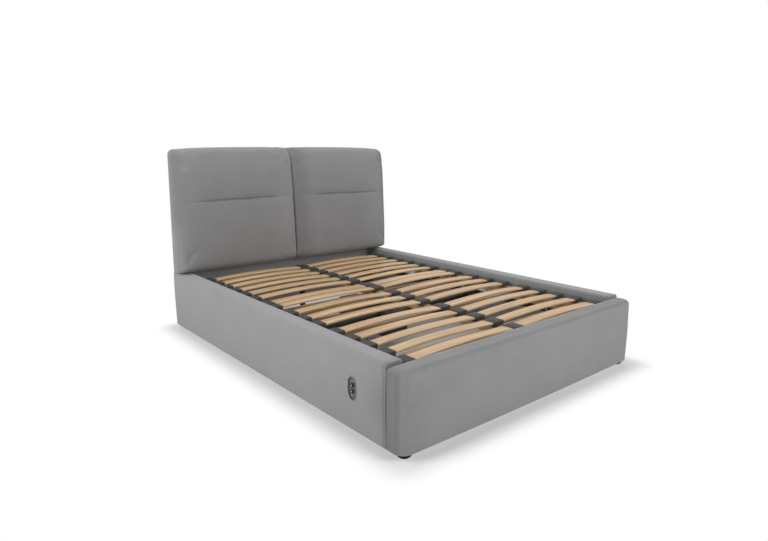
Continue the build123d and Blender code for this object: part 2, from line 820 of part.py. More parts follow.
def case_shell(z_low, z_high, open_z, closed_height):
    """Half of the drive case: a rounded tray with half round seats for both shafts."""
    with BuildSketch(Plane.XY.offset(z_low)) as profile:
        with Locations((0, case_middle_y)):
            RectangleRounded(2 * case_half_width, case_length, case_corner_radius)
    extrude(profile.sketch, amount=z_high - z_low)
    with BuildSketch(Plane.XY.offset(open_z)) as profile:
        with Locations((0, case_middle_y)):
            RectangleRounded(
                2 * (case_half_width - case_wall), case_length - 2 * case_wall, case_corner_radius - case_wall
            )
    extrude(profile.sketch, amount=closed_height, mode=Mode.SUBTRACT)
    hole = shaft_diameter + 2 * case_shaft_clearance
    for shaft_y in (back_shaft_y, leg_shaft_y):
        rod((-case_half_width, case_half_width), shaft_y, shaft_z, hole, Mode.SUBTRACT)


with BuildPart() as drive_case_upper:
    upper_low = shaft_z + case_joint_gap / 2
    case_shell(upper_low, case_top, upper_low, case_top - case_wall - upper_low)
    fillet(drive_case_upper.faces().sort_by(Axis.Z)[-1].edges(), radius=case_wall)
write(drive_case_upper, "drive_case_upper")

with BuildPart() as drive_case_lower:
    lower_high = shaft_z - case_joint_gap / 2
    case_shell(case_bottom, lower_high, case_floor, lower_high - case_floor)
    with BuildSketch(Plane.XY.offset(case_bottom - case_rib_height)):
        with Locations((0, case_middle_y)):
            with GridLocations(2 * case_half_width / 3, 0, 3, 1):
                SlotOverall(case_length - 4 * case_corner_radius, 2 * case_wall, rotation=90)
    extrude(amount=case_rib_height)
write(drive_case_lower, "drive_case_lower")

spindle_bore = spindle_diameter / 2 + spindle_clearance
with BuildPart() as gear_motors:
    bar((-gearbox_half_width, gearbox_half_width), gearbox_range, (case_floor, case_floor + gearbox_height))
    with BuildSketch(Plane.XZ.offset(-gearbox_range[0])):
        can_z = case_floor + gearbox_height + motor_can_diameter / 4
        with Locations((motor_can_spacing / 2, can_z), (-motor_can_spacing / 2, can_z)):
            Circle(motor_can_diameter / 2)
    extrude(amount=-gearbox_length)
    for start, towards in ((gearbox_range[0], 1), (gearbox_range[1], -1)):
        with BuildSketch(Plane.XZ.offset(-start)):
            with Locations((0, spindle_z)):
                Circle(spindle_bore)
        extrude(amount=-towards * spindle_seat_depth, mode=Mode.SUBTRACT)
write(gear_motors, "gear_motors")

control_low_y = seat_cross_starts[0]
control_high_y = seat_cross_starts[1] + base_member_width
control_range = (control_box_offset, control_box_offset + control_box_length)
control_z = (base_bottom - control_box_height, base_bottom)
with BuildPart() as control_box:
    bar(control_range, (control_low_y, control_high_y), control_z)
    fillet(control_box.edges().filter_by(Axis.Z), radius=control_box_radius)
    control_middle = ((control_low_y + control_high_y) / 2, sum(control_z) / 2)
    with BuildSketch(Plane.YZ.offset(control_range[0])):
        with Locations(control_middle):
            RectangleRounded(connector_bay_width, connector_bay_height, connector_bay_radius)
    extrude(amount=socket_depth, mode=Mode.SUBTRACT)
    with BuildSketch(Plane.YZ.offset(control_range[1])):
        with Locations(control_middle):
            SlotOverall(inlet_width, inlet_height)
    extrude(amount=-socket_depth, mode=Mode.SUBTRACT)
write(control_box, "control_box")

with BuildPart() as switch_bezel:
    with BuildSketch(switch_plane):
        SlotOverall(switch_length, switch_width)
    extrude(amount=switch_plate_thickness)
    chamfer(switch_bezel.faces().sort_by(Axis.X)[0].edges(), length=switch_edge_chamfer)
    with BuildSketch(switch_plane.offset(switch_plate_thickness)):
        SlotOverall(switch_length - 2 * switch_rim, switch_width - 2 * switch_rim)
    extrude(amount=-switch_rim_depth, mode=Mode.SUBTRACT)
    with BuildSketch(switch_plane):
        with Locations(*button_places):
            Circle(button_diameter / 2 + button_clearance)
    extrude(amount=switch_plate_thickness, mode=Mode.SUBTRACT)
write(switch_bezel, "switch_bezel")

button_top = switch_plate_thickness - switch_rim_depth + button_proud
button_bottom = button_top - button_height
well_depth = -button_bottom + button_travel + 1.0
with BuildPart() as switch_housing:
    with BuildSketch(switch_plane.offset(-housing_depth)):
        SlotOverall(housing_length, housing_width)
    extrude(amount=housing_depth)
    with BuildSketch(switch_plane.offset(-well_depth)):
        with Locations(*button_places):
            Circle(button_diameter / 2 + button_clearance)
    extrude(amount=well_depth, mode=Mode.SUBTRACT)
    with BuildSketch(switch_plane.offset(-well_depth - button_stem_length)):
        with Locations(*button_places):
            Circle(button_stem_diameter / 2 + button_clearance)
    extrude(amount=button_stem_length, mode=Mode.SUBTRACT)
write(switch_housing, "switch_housing")


def push_button(place):
    """A round button with a shallow finger dish, on a guide stem."""
    with BuildSketch(switch_plane.offset(button_bottom)) as profile:
        with Locations(place):
            Circle(button_diameter / 2)
    cap = extrude(profile.sketch, amount=button_height)
    chamfer(cap.faces().sort_by(Axis.X)[0].edges(), length=button_edge_chamfer)
    with BuildSketch(switch_plane.offset(button_top)) as profile:
        with Locations(place):
            Circle(button_dish_diameter / 2)
    extrude(profile.sketch, amount=-button_dish, mode=Mode.SUBTRACT)
    with BuildSketch(switch_plane.offset(button_bottom)) as profile:
        with Locations(place):
            Circle(button_stem_diameter / 2)
    extrude(profile.sketch, amount=-(button_stem_length - button_clearance))


with BuildPart() as raise_button:
    push_button(button_places[0])
write(raise_button, "raise_button")

with BuildPart() as lower_button:
    push_button(button_places[1])
write(lower_button, "lower_button")

# Back section
with BuildPart() as back_rails:
    section_rails(back_hinge_y, deck_head_y, back_hinge_y)
write(back_rails, "back_rails")

with BuildPart() as back_cross_bars:
    cross_bars(back_hinge_y + shaft_set_off)
    cross_bars(deck_head_y - cross_bar_width)
write(back_cross_bars, "back_cross_bars")

with BuildPart() as back_slats:
    slats(back_rows)
write(back_slats, "back_slats")

with BuildPart() as back_slat_caps:
    slat_caps(back_rows)
write(back_slat_caps, "back_slat_caps")

with BuildPart() as back_lift_pads:
    lift_pads(back_hinge_y + back_arm_run)
write(back_lift_pads, "back_lift_pads")

# Thigh section
with BuildPart() as thigh_rails:
    section_rails(thigh_hinge_y, knee_y + nose_reach, thigh_hinge_y)
write(thigh_rails, "thigh_rails")

with BuildPart() as thigh_cross_bars:
    cross_bars(thigh_middle_y - cross_bar_width / 2)
write(thigh_cross_bars, "thigh_cross_bars")

with BuildPart() as thigh_slats:
    slats(thigh_rows)
write(thigh_slats, "thigh_slats")

with BuildPart() as thigh_slat_caps:
    slat_caps(thigh_rows)
write(thigh_slat_caps, "thigh_slat_caps")

with BuildPart() as thigh_lift_pads:
    lift_pads(thigh_hinge_y - leg_arm_run)
write(thigh_lift_pads, "thigh_lift_pads")

with BuildPart() as knee_hinge_plates:
    hinge_plates(knee_y, 1)
write(knee_hinge_plates, "knee_hinge_plates")

with BuildPart() as knee_hinge_pins:
    hinge_pins(knee_y)
write(knee_hinge_pins, "knee_hinge_pins")

# Calf section
calf_axle_y = deck_foot_y + calf_roller_from_end
calf_axle_z = base_top + rest_gap + calf_roller_diameter / 2
calf_roller_inner = base_inner + (base_member_width - calf_roller_width) / 2
with BuildPart() as calf_rails:
    section_rails(knee_y, deck_foot_y, knee_y)
    for x_low, x_high in rail_edges[:2]:
        rod((x_low, x_high), calf_axle_y, calf_axle_z, roller_pin_diameter + 2 * weld_clearance, Mode.SUBTRACT)
write(calf_rails, "calf_rails")

with BuildPart() as calf_cross_bars:
    cross_bars(knee_y - shaft_set_off - cross_bar_width)
    cross_bars(deck_foot_y)
write(calf_cross_bars, "calf_cross_bars")

with BuildPart() as calf_slats:
    slats(calf_rows)
write(calf_slats, "calf_slats")

with BuildPart() as calf_slat_caps:
    slat_caps(calf_rows)
write(calf_slat_caps, "calf_slat_caps")

calf_axle_end = calf_roller_inner + calf_roller_width + roller_clearance
with BuildPart() as calf_axles:
    rod((rail_inner, calf_axle_end), calf_axle_y, calf_axle_z, roller_pin_diameter)
    rod((calf_axle_end, calf_axle_end + roller_side_gap), calf_axle_y, calf_axle_z, roller_pin_head)
    rod((rail_inner - roller_side_gap, rail_inner), calf_axle_y, calf_axle_z, roller_pin_head)
    mirror(about=Plane.YZ)
write(calf_axles, "calf_axles")

roller_bore = roller_pin_diameter + 2 * roller_clearance
calf_roller_range = (calf_roller_inner, calf_roller_inner + calf_roller_width)
with BuildPart() as calf_roller_right:
    roller(calf_roller_range, calf_axle_y, calf_axle_z, calf_roller_diameter, roller_bore)
write(calf_roller_right, "calf_roller_right")

with BuildPart() as calf_roller_left:
    left_range = (-calf_roller_range[1], -calf_roller_range[0])
    roller(left_range, calf_axle_y, calf_axle_z, calf_roller_diameter, roller_bore)
write(calf_roller_left, "calf_roller_left")

# Lift shafts with their arms, levers and rollers
back_arm_end_y = back_shaft_y + back_arm_run
leg_arm_end_y = leg_shaft_y - leg_arm_run
roller_range = (roller_inner, roller_inner + roller_width)
mirrored_range = (-roller_range[1], -roller_range[0])

with BuildPart() as back_lift_shaft:
    lift_shaft(back_shaft_y)
write(back_lift_shaft, "back_lift_shaft")

with BuildPart() as back_lift_arms:
    lift_arms(back_shaft_y, back_arm_end_y)
write(back_lift_arms, "back_lift_arms")

with BuildPart() as back_drive_lever:
    drive_lever(back_shaft_y, back_lever_y, back_lever_z)
write(back_drive_lever, "back_drive_lever")

with BuildPart() as back_roller_right:
    roller(roller_range, back_arm_end_y, arm_end_z, roller_diameter, roller_bore)
write(back_roller_right, "back_roller_right")

with BuildPart() as back_roller_left:
    roller(mirrored_range, back_arm_end_y, arm_end_z, roller_diameter, roller_bore)
write(back_roller_left, "back_roller_left")

with BuildPart() as leg_lift_shaft:
    lift_shaft(leg_shaft_y)
write(leg_lift_shaft, "leg_lift_shaft")

with BuildPart() as leg_lift_arms:
    lift_arms(leg_shaft_y, leg_arm_end_y)
write(leg_lift_arms, "leg_lift_arms")

with BuildPart() as leg_drive_lever:
    drive_lever(leg_shaft_y, leg_lever_y, leg_lever_z)
write(leg_drive_lever, "leg_drive_lever")

with BuildPart() as leg_roller_right:
    roller(roller_range, leg_arm_end_y, arm_end_z, roller_diameter, roller_bore)
write(leg_roller_right, "leg_roller_right")

with BuildPart() as leg_roller_left:
    roller(mirrored_range, leg_arm_end_y, arm_end_z, roller_diameter, roller_bore)
write(leg_roller_left, "leg_roller_left")

# Drive sliders and spindles
with BuildPart() as back_slider:
    slider(back_push_y, 1)
write(back_slider, "back_slider")

with BuildPart() as leg_slider:
    slider(leg_push_y, -1)
write(leg_slider, "leg_slider")

with BuildPart() as back_spindle:
    spindle((gearbox_range[1] - spindle_seat_depth, case_head_y - case_wall - spindle_end_gap))
write(back_spindle, "back_spindle")

with BuildPart() as leg_spindle:
    spindle((case_foot_y + case_wall + spindle_end_gap, gearbox_range[0] + spindle_seat_depth))
write(leg_spindle, "leg_spindle")
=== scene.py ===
"""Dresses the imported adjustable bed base: cloth, sprung slats, lift drive, switch and studio."""

import logging
import math
from dataclasses import dataclass
from enum import Enum
from typing import Callable, Sequence

import bmesh
import bpy
from bmesh.types import BMEdge, BMesh, BMFace, BMVert
from mathutils import Matrix, Vector, noise


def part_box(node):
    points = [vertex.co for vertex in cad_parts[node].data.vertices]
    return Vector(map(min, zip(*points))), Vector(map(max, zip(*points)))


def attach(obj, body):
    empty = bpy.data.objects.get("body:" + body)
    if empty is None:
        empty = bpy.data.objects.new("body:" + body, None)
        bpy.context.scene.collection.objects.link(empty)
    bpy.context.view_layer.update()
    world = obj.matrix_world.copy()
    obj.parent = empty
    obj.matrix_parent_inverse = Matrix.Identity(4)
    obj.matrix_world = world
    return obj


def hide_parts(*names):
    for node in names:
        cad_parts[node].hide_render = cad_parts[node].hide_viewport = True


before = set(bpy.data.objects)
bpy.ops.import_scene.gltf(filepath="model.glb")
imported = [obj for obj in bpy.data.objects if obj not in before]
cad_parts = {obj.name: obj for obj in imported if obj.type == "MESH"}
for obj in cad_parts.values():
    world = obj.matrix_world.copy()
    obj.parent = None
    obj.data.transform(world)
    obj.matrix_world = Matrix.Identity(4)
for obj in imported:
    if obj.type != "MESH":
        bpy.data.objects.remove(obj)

log = logging.getLogger("bed_base")
Point = tuple[float, float, float]
Colour = tuple[float, float, float]
Pair = tuple[float, float]
# A fastener's place and the way it faces
Seat = tuple[Point, Point]
Material = bpy.types.Material
Piece = bpy.types.Object
Socket = bpy.types.NodeSocket
MM = 0.001
# Point attribute that holds painted shade on the cloth: how far its colour is darkened, 0 to 2
SHADE_ATTRIBUTE = "nap"
# Distance of a slat's inner end from the middle of the bed, and the rise of its arc
SLAT_GAP = 8 * MM
SLAT_CROWN = 12 * MM


class Body(Enum):
    """Moving groups of the bed that dressed pieces ride on."""

    BEDSTEAD = "bedstead"
    BACK = "back_section"
    THIGH = "thigh_section"
    CALF = "calf_section"
    RAISE_KEY = "raise_key"
    LOWER_KEY = "lower_key"


class Side(Enum):
    """Left is -X, where the switch is; right is +X."""

    LEFT = -1
    RIGHT = 1


# Node building


class Value:
    """A node output that takes part in arithmetic by adding Math nodes."""

    def __init__(self, maker: "NodeMaker", socket: Socket) -> None:
        """Wraps one output socket of a maker's tree."""
        self.maker = maker
        self.socket = socket

    def _math(self, operation: str, *operands: "Value | float") -> "Value":
        """Adds one Math node and gives its result."""
        return self.maker.value("ShaderNodeMath", dict(enumerate(operands)), operation=operation)

    def __add__(self, other: "Value | float") -> "Value":
        """Sum."""
        return self._math("ADD", self, other)

    def __sub__(self, other: "Value | float") -> "Value":
        """Difference."""
        return self._math("SUBTRACT", self, other)

    def __rsub__(self, other: float) -> "Value":
        """Difference from a number."""
        return self._math("SUBTRACT", other, self)

    def __mul__(self, other: "Value | float") -> "Value":
        """Product."""
        return self._math("MULTIPLY", self, other)

    def __truediv__(self, other: "Value | float") -> "Value":
        """Quotient."""
        return self._math("DIVIDE", self, other)

    def __pow__(self, other: float) -> "Value":
        """Power."""
        return self._math("POWER", self, other)

    def wave(self) -> "Value":
        """Sine of the value in radians, brought to 0 to 1."""
        return self._math("SINE", self) * 0.5 + 0.5

    def absolute(self) -> "Value":
        """Value without its sign."""
        return self._math("ABSOLUTE", self)

    def most(self, other: "Value | float") -> "Value":
        """The larger of two values."""
        return self._math("MAXIMUM", self, other)

    def step(self, low: float, high: float) -> "Value":
        """Smooth 0 to 1 ramp between two values."""
        sockets = {"Value": self, "From Min": low, "From Max": high}
        return self.maker.value("ShaderNodeMapRange", sockets, interpolation_type="SMOOTHSTEP")


class NodeMaker:
    """Makes nodes in one tree, for shaders and for geometry."""

    def __init__(self, tree: bpy.types.NodeTree) -> None:
        """Takes the tree that the nodes go into."""
        self.tree = tree

    def make(self, kind: str, sockets: dict | None = None, **settings: object) -> bpy.types.Node:
        """Adds a node.

        Args:
            kind: the node's type.
            sockets: values, wrapped outputs or plain outputs for its inputs, by name or place.
            settings: properties that are set before the inputs.

        Returns:
            The new node.
        """
        node = self.tree.nodes.new(kind)
        for name, value in settings.items():
            setattr(node, name, value)
        for key, value in (sockets or {}).items():
            self.feed(node.inputs[key], value)
        return node

    def value(self, kind: str, sockets: dict | None = None, **settings: object) -> Value:
        """Adds a node and wraps its first output."""
        return Value(self, self.make(kind, sockets, **settings).outputs[0])

    def feed(self, socket: Socket, value: object) -> None:
        """Links an output to an input socket, or sets the socket's own value.

        Args:
            socket: The input.
            value: What it takes.
        """
        source = value.socket if isinstance(value, Value) else value
        if isinstance(source, Socket):
            self.tree.links.new(source, socket)
        else:
            socket.default_value = source

    def seen(self) -> Value:
        """Tells rays that reach the eye from the rest.

        Returns:
            1 to rays that come straight, by reflection or through a surface, else 0.
        """
        rays = self.make("ShaderNodeLightPath").outputs
        kinds = ("Is Camera Ray", "Is Glossy Ray", "Is Transmission Ray")
        straight, mirrored, through = (Value(self, rays[kind]) for kind in kinds)
        return straight.most(mirrored).most(through)


class Shader(NodeMaker):
    """One material's node tree, with the textures that the finishes share."""

    def __init__(self, name: str) -> None:
        """Makes an empty material with a Principled shader and an output.

        Args:
            name: The material's name.
        """
        self.material = bpy.data.materials.new(name)
        self.material.use_nodes = True
        super().__init__(self.material.node_tree)
        self.tree.nodes.clear()
        self.output = self.make("ShaderNodeOutputMaterial")
        self.surface = self.make("ShaderNodeBsdfPrincipled")
        self.feed(self.output.inputs["Surface"], self.surface.outputs[0])
        self.coordinates = self.make("ShaderNodeTexCoord").outputs

    def axes(self, space: str = "Object") -> tuple[Value, Value, Value]:
        """The three coordinates as values."""
        node = self.make("ShaderNodeSeparateXYZ", {0: self.coordinates[space]})
        return tuple(Value(self, output) for output in node.outputs)

    def speckle(
        self,
        scale: float,
        detail: float,
        stretch: Point = (1.0, 1.0, 1.0),
        space: str = "Object",
    ) -> Value:
        """Noise from 0 to 1.

        Args:
            scale: how fine it is.
            detail: octaves.
            stretch: how much finer it is along each axis.
            space: name of the coordinates that it is read at.

        Returns:
            The noise value.
        """
        sockets = {"Vector": self.coordinates[space], "Scale": stretch}
        place = self.make("ShaderNodeMapping", sockets).outputs["Vector"]
        sockets = {"Vector": place, "Scale": scale, "Detail": detail}
        return self.value("ShaderNodeTexNoise", sockets)

    def tint(self, factor: Value, stops: Sequence[tuple[float, Colour]]) -> Socket:
        """Drives a colour ramp by a value.

        Args:
            factor: The value.
            stops: Places on the ramp, with their colours.

        Returns:
            The ramp's colour.
        """
        node = self.make("ShaderNodeValToRGB", {0: factor})
        elements = node.color_ramp.elements
        while len(elements) < len(stops):
            elements.new(0.5)
        for element, (place, colour) in zip(elements, stops):
            element.position = place
            element.color = (*colour, 1.0)
        return node.outputs["Color"]

    def blend(self, factor: Value, first: object, second: object) -> Socket:
        """Mixes two colours by a value."""
        sockets = {"Factor": factor, 6: first, 7: second}
        return self.make("ShaderNodeMix", sockets, data_type="RGBA").outputs[2]

    def bump(self, height: Value, distance: float, strength: float) -> None:
        """Raises the surface's normal by a height.

        Args:
            height: the height field, 0 to 1.
            distance: height of 1 in metres.
            strength: share of the effect.
        """
        sockets = {"Height": height, "Distance": distance, "Strength": strength}
        self.feed(self.surface.inputs["Normal"], self.make("ShaderNodeBump", sockets).outputs[0])

    def dress(self, **sockets: object) -> Material:
        """Sets the Principled shader's sockets.

        Args:
            **sockets: Values or links, named with underscores.

        Returns:
            The material.
        """
        for name, value in sockets.items():
            self.feed(self.surface.inputs[name.replace("_", " ").title()], value)
        return self.material


def shaded(colour: Colour, factor: float) -> Colour:
    """A colour made lighter or darker."""
    return tuple(channel * factor for channel in colour)


def two_tone(colour: Colour, contrast: float, start: float) -> Sequence[tuple[float, Colour]]:
    """Ramp stops from a darker to a lighter shade of a colour, alike about the middle."""
    return (start, shaded(colour, 1 - contrast)), (1 - start, shaded(colour, 1 + contrast))


def weighted(*terms: tuple[Value, float]) -> Value:
    """Sum of values, each times its weight."""
    first, *others = [value * weight for value, weight in terms]
    return sum(others, first)


def stretched(across: float, along: float, axis: int | None) -> Point:
    """A stretch that differs along one axis, if one is given."""
    return tuple(along if place == axis else across for place in range(3))


# Finishes


@dataclass(frozen=True)
class Fabric:
    """Brushed woven upholstery cloth, patterned on the piece's own UV map in metres, with painted
    shade from its points darkening the colour.
    """

    name: str
    colour: Colour
    thread: float = 1.3 * MM
    thread_depth: float = 0.35 * MM
    fibre_stretch: float = 0.25
    cloud: float = 5.0
    nap: float = 45.0
    brushed: float = 170.0
    brush_stretch: float = 0.4
    contrast: float = 0.115
    # How dark the painted shade makes the colour where it is fullest
    painted_shadow_tone: float = 0.5
    roughness: float = 0.8
    sheen: float = 0.22

    def material(self) -> Material:
        """Builds the cloth's finish.

        Returns:
            The material.
        """
        shader = Shader(self.name)
        across, along, _ = shader.axes("UV")
        turns = 2 * math.pi / self.thread
        weave = ((across * turns).wave() - (along * turns).wave()).absolute()
        fibre = shader.speckle(1.4 / self.thread, 2.0, (1.0, self.fibre_stretch, 1.0), "UV")
        cloud = shader.speckle(self.cloud, 3.0)
        nap = shader.speckle(self.nap, 4.0)
        brushed = shader.speckle(self.brushed, 4.0, (1.0, self.brush_stretch, 1.0), "UV")
        brushed = brushed.step(0.3, 0.7)
        shade = weighted((cloud, 0.38), (nap, 0.16), (brushed, 0.2), (fibre, 0.18), (weave, 0.08))
        tone = shader.tint(shade, two_tone(self.colour, self.contrast, 0.3))
        # Painted shade: each point's attribute pulls the colour towards a darker copy of it
        painted_shade = shader.make("ShaderNodeAttribute", attribute_name=SHADE_ATTRIBUTE).outputs["Fac"]
        painted_shadow_colour = (*shaded(self.colour, self.painted_shadow_tone), 1.0)
        colour = shader.blend(Value(shader, painted_shade) * 0.5, tone, painted_shadow_colour)
        relief = weighted((weave, 0.45), (fibre, 0.3), (brushed, 0.25))
        shader.bump(relief, self.thread_depth, 0.6)
        return shader.dress(
            base_color=colour,
            roughness=fibre * 0.12 + self.roughness,
            sheen_weight=self.sheen,
            sheen_roughness=0.45,
        )


@dataclass(frozen=True)
class Timber:
    """Lacquered laminated wood with its grain along X or Y; bent plies follow an arc along X.

    Grain and pores are given as how fine they are across and along the grain, and tones as
    places on the colour ramp with how light they are.
    """

    name: str
    colour: Colour
    grain_axis: int
    ply: float = 2.4 * MM
    ply_contrast: float = 0.10
    bend: Pair | None = None
    grain: Pair = (26.0, 0.9)
    pores: Pair = (420.0, 9.0)
    flame: float = 22.0
    tones: Sequence[Pair] = ((0.22, 0.62), (0.45, 1.0), (0.75, 1.18))
    pore_depth: float = 0.12 * MM
    roughness: float = 0.38
    lacquer: float = 0.12

    def material(self) -> Material:
        """Builds the wood's finish.

        Returns:
            The material.
        """
        shader = Shader(self.name)
        grain = shader.speckle(1.0, 5.0, stretched(*self.grain, self.grain_axis))
        pore = shader.speckle(1.0, 2.0, stretched(*self.pores, self.grain_axis))
        flame = (grain * self.flame).wave()
        across, _, height = shader.axes()
        if self.bend:
            start, end = self.bend
            off = (across.absolute() - (start + end) / 2) / ((end - start) / 2)
            height = height - (1 - off * off) * SLAT_CROWN
        ply = (height * (2 * math.pi / self.ply)).wave()
        shade = weighted((grain, 0.55), (flame, 0.2), (pore, 0.25), (ply, -self.ply_contrast))
        stops = [(place, shaded(self.colour, tone)) for place, tone in self.tones]
        shader.bump(weighted((pore, 0.7), (flame, 0.3)), self.pore_depth, 0.4)
        return shader.dress(
            base_color=shader.tint(shade, stops),
            roughness=pore * 0.2 + self.roughness,
            coat_weight=self.lacquer,
        )


@dataclass(frozen=True)
class Plastic:
    """Moulded plastic, nylon or rubber with a fine eroded grain and paler scuffs."""

    name: str
    colour: Colour
    roughness: float = 0.5
    grain: float = 1400.0
    grain_depth: float = 0.06 * MM
    contrast: float = 0.12
    scuff: float = 0.25
    scuff_size: float = 18.0
    scuff_stretch: float = 6.0
    gloss: float = 0.5

    def material(self) -> Material:
        """Builds the moulding's finish.

        Returns:
            The material.
        """
        shader = Shader(self.name)
        shader.surface.inputs["Specular IOR Level"].default_value = self.gloss
        grain = shader.speckle(self.grain, 2.0)
        scuff = shader.speckle(self.scuff_size, 6.0, (1.0, self.scuff_stretch, 1.0))
        scuff = scuff.step(0.52, 0.78)
        tone = shader.tint(grain, two_tone(self.colour, self.contrast, 0.3))
        paler = (*shaded(self.colour, 1.0 + self.scuff), 1.0)
        shader.bump(grain, self.grain_depth, 0.5)
        return shader.dress(
            base_color=shader.blend(scuff * 0.5, tone, paler),
            roughness=weighted((scuff, 0.14), (grain, 0.08)) + (self.roughness - 0.06),
        )


@dataclass(frozen=True)
class Metal:
    """Bare, plated or coated metal; brushed metal has its lines along one axis."""

    name: str
    colour: Colour
    metallic: float = 1.0
    roughness: float = 0.34
    brush_axis: int | None = None
    grain: Pair = (900.0, 12.0)
    grain_depth: float = 0.03 * MM
    patch: float = 42.0
    contrast: float = 0.12

    def material(self) -> Material:
        """Builds the metal's finish.

        Returns:
            The material.
        """
        shader = Shader(self.name)
        line = shader.speckle(1.0, 2.0, stretched(*self.grain, self.brush_axis))
        patch = shader.speckle(self.patch, 5.0)
        stops = two_tone(self.colour, self.contrast, 0.32)
        shader.bump(line, self.grain_depth, 0.5)
        return shader.dress(
            base_color=shader.tint(weighted((line, 0.5), (patch, 0.5)), stops),
            roughness=weighted((patch, 0.14), (line, 0.1)) + (self.roughness - 0.12),
            metallic=self.metallic,
        )


class Finishes:
    """Every material of the bed, made once."""

    def __init__(self) -> None:
        """Builds the materials."""
        self.dress_cloth()
        self.dress_wood()
        self.dress_metal()
        self.dress_plastic()

    def dress_cloth(self) -> None:
        """Cover, thread and lining."""
        grey = (0.255, 0.255, 0.258)
        black = (0.022, 0.022, 0.024)
        self.upholstery = Fabric("grey_upholstery", grey).material()
        self.thread = Fabric("seam_thread", shaded(grey, 0.62), thread=0.4 * MM).material()
        self.lining = Fabric("black_lining", black, thread=2.2 * MM, sheen=0.05).material()

    def dress_wood(self) -> None:
        """Bent slats, and straight members along Y and X."""
        beech = (0.56, 0.375, 0.205)
        laminate = (0.44, 0.285, 0.150)
        ply = 4.6 * MM
        bend = (SLAT_GAP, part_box("seat_slats")[1][0])
        self.slat = Timber("beech_slat", beech, grain_axis=0, bend=bend).material()
        self.rail = Timber("laminated_rail", laminate, grain_axis=1, ply=ply).material()
        self.bar = Timber("laminated_bar", laminate, grain_axis=0, ply=ply).material()

    def dress_metal(self) -> None:
        """Steelwork, motors and the switch's metal."""
        black = (0.018, 0.018, 0.019)
        zinc = (0.58, 0.585, 0.60)
        cast = (0.42, 0.43, 0.44)
        bronze = (0.20, 0.18, 0.16)
        bright = (0.36, 0.345, 0.33)
        coarse = 0.09 * MM
        sandy = 0.12 * MM
        self.coated = Metal("black_coated_steel", black, 0.0, 0.5, grain_depth=coarse).material()
        self.zinc = Metal("zinc_plated_steel", zinc, 1.0, 0.38).material()
        self.cast = Metal("cast_motor_metal", cast, 1.0, 0.5, grain_depth=sandy).material()
        self.plate = Metal("brushed_switch_plate", bronze, 1.0, 0.42, brush_axis=2).material()
        self.bright = Metal("bright_switch_lip", bright, 1.0, 0.34, contrast=0.05).material()

    def dress_plastic(self) -> None:
        """Caps, cases, feet, rollers and the switch's plastic."""
        rubber = (0.026, 0.026, 0.027)
        case = (0.030, 0.030, 0.033)
        foot = (0.006, 0.006, 0.006)
        nylon = (0.72, 0.71, 0.66)
        black = (0.010, 0.010, 0.010)
        pale = (0.62, 0.62, 0.60)
        fine = 0.01 * MM
        self.rubber = Plastic("cap_rubber", rubber, 0.68, grain=700.0).material()
        self.case = Plastic("drive_case_plastic", case, 0.52).material()
        self.foot = Plastic("foot_plastic", foot, 0.5, gloss=0.2).material()
        self.nylon = Plastic("white_nylon", nylon, 0.42, scuff=-0.18).material()
        self.gloss = Plastic("gloss_black_plastic", black, 0.24, grain_depth=fine).material()
        self.mark = Plastic("pale_arrow_inlay", pale, 0.4).material()


# Numbers and outlines


def ease(low: float, high: float, value: float) -> float:
    """Smooth 0 to 1 ramp of a number between two others."""
    share = min(max((value - low) / (high - low), 0.0), 1.0)
    return share * share * (3 - 2 * share)


def bell(offset: float, width: float) -> float:
    """Bell curve that is 1 at no offset."""
    return math.exp(-((offset / width) ** 2))


def ripple(point: Vector, scale: float, seed: float) -> float:
    """Smooth noise from about -1 to 1 at a point."""
    return noise.noise(point * scale + Vector((seed, seed * 0.7, -seed)))


def spread(start: float, end: float, steps: int) -> list[float]:
    """Evenly spaced numbers from start to end."""
    return [start + (end - start) * step / steps for step in range(steps + 1)]


def turned(start: float, end: float, steps: int) -> list[Pair]:
    """Cosine and sine of evenly spaced angles, given in degrees."""
    angles = [math.radians(angle) for angle in spread(start, end, steps)]
    return [(math.cos(angle), math.sin(angle)) for angle in angles]


def circle(spans: int) -> list[Pair]:
    """Points round a circle of radius 1."""
    return turned(0, 360, spans)[:-1]


def round_corner(centre: Pair, radius: float, start: float, steps: int) -> list[Pair]:
    """Points of a quarter circle.

    Args:
        centre: the circle's centre.
        radius: its radius.
        start: the first angle in degrees; the corner runs on by 90.
        steps: number of spans.

    Returns:
        The points in order.
    """
    corner = turned(start, start + 90, steps)
    return [(centre[0] + radius * cos, centre[1] + radius * sin) for cos, sin in corner]


def edge_round(radius: float, steps: int) -> list[Pair]:
    """Distance from an end face, and inset, of the rings that round the edge of an end."""
    return [(radius * (1 - cos), radius * (1 - sin)) for cos, sin in turned(0, 90, steps)]


# Mesh building


def linked(name: str, data: bpy.types.ID) -> Piece:
    """Makes an object and links it to the scene.

    Args:
        name: The object's name.
        data: Its mesh, lamp or camera.

    Returns:
        The object.
    """
    piece = bpy.data.objects.new(name, data)
    bpy.context.scene.collection.objects.link(piece)
    return piece


def from_work(name: str, work: BMesh) -> Piece:
    """Turns an edit mesh into an object, with its faces turned outward.

    Args:
        name: The object's name.
        work: The finished edit mesh, which is freed.

    Returns:
        The object.
    """
    bmesh.ops.recalc_face_normals(work, faces=work.faces)
    mesh = bpy.data.meshes.new(name)
    work.to_mesh(mesh)
    work.free()
    return linked(name, mesh)


def bridge(work: BMesh, low: Sequence[BMVert], high: Sequence[BMVert]) -> list[BMFace]:
    """Joins two closed rings of points with four sided faces.

    Args:
        work: The edit mesh.
        low: One ring.
        high: The other, in the same order.

    Returns:
        The faces, in the rings' order.
    """
    faces = []
    for place in range(len(low)):
        after = (place + 1) % len(low)
        faces.append(work.faces.new((low[place], low[after], high[after], high[place])))
    return faces


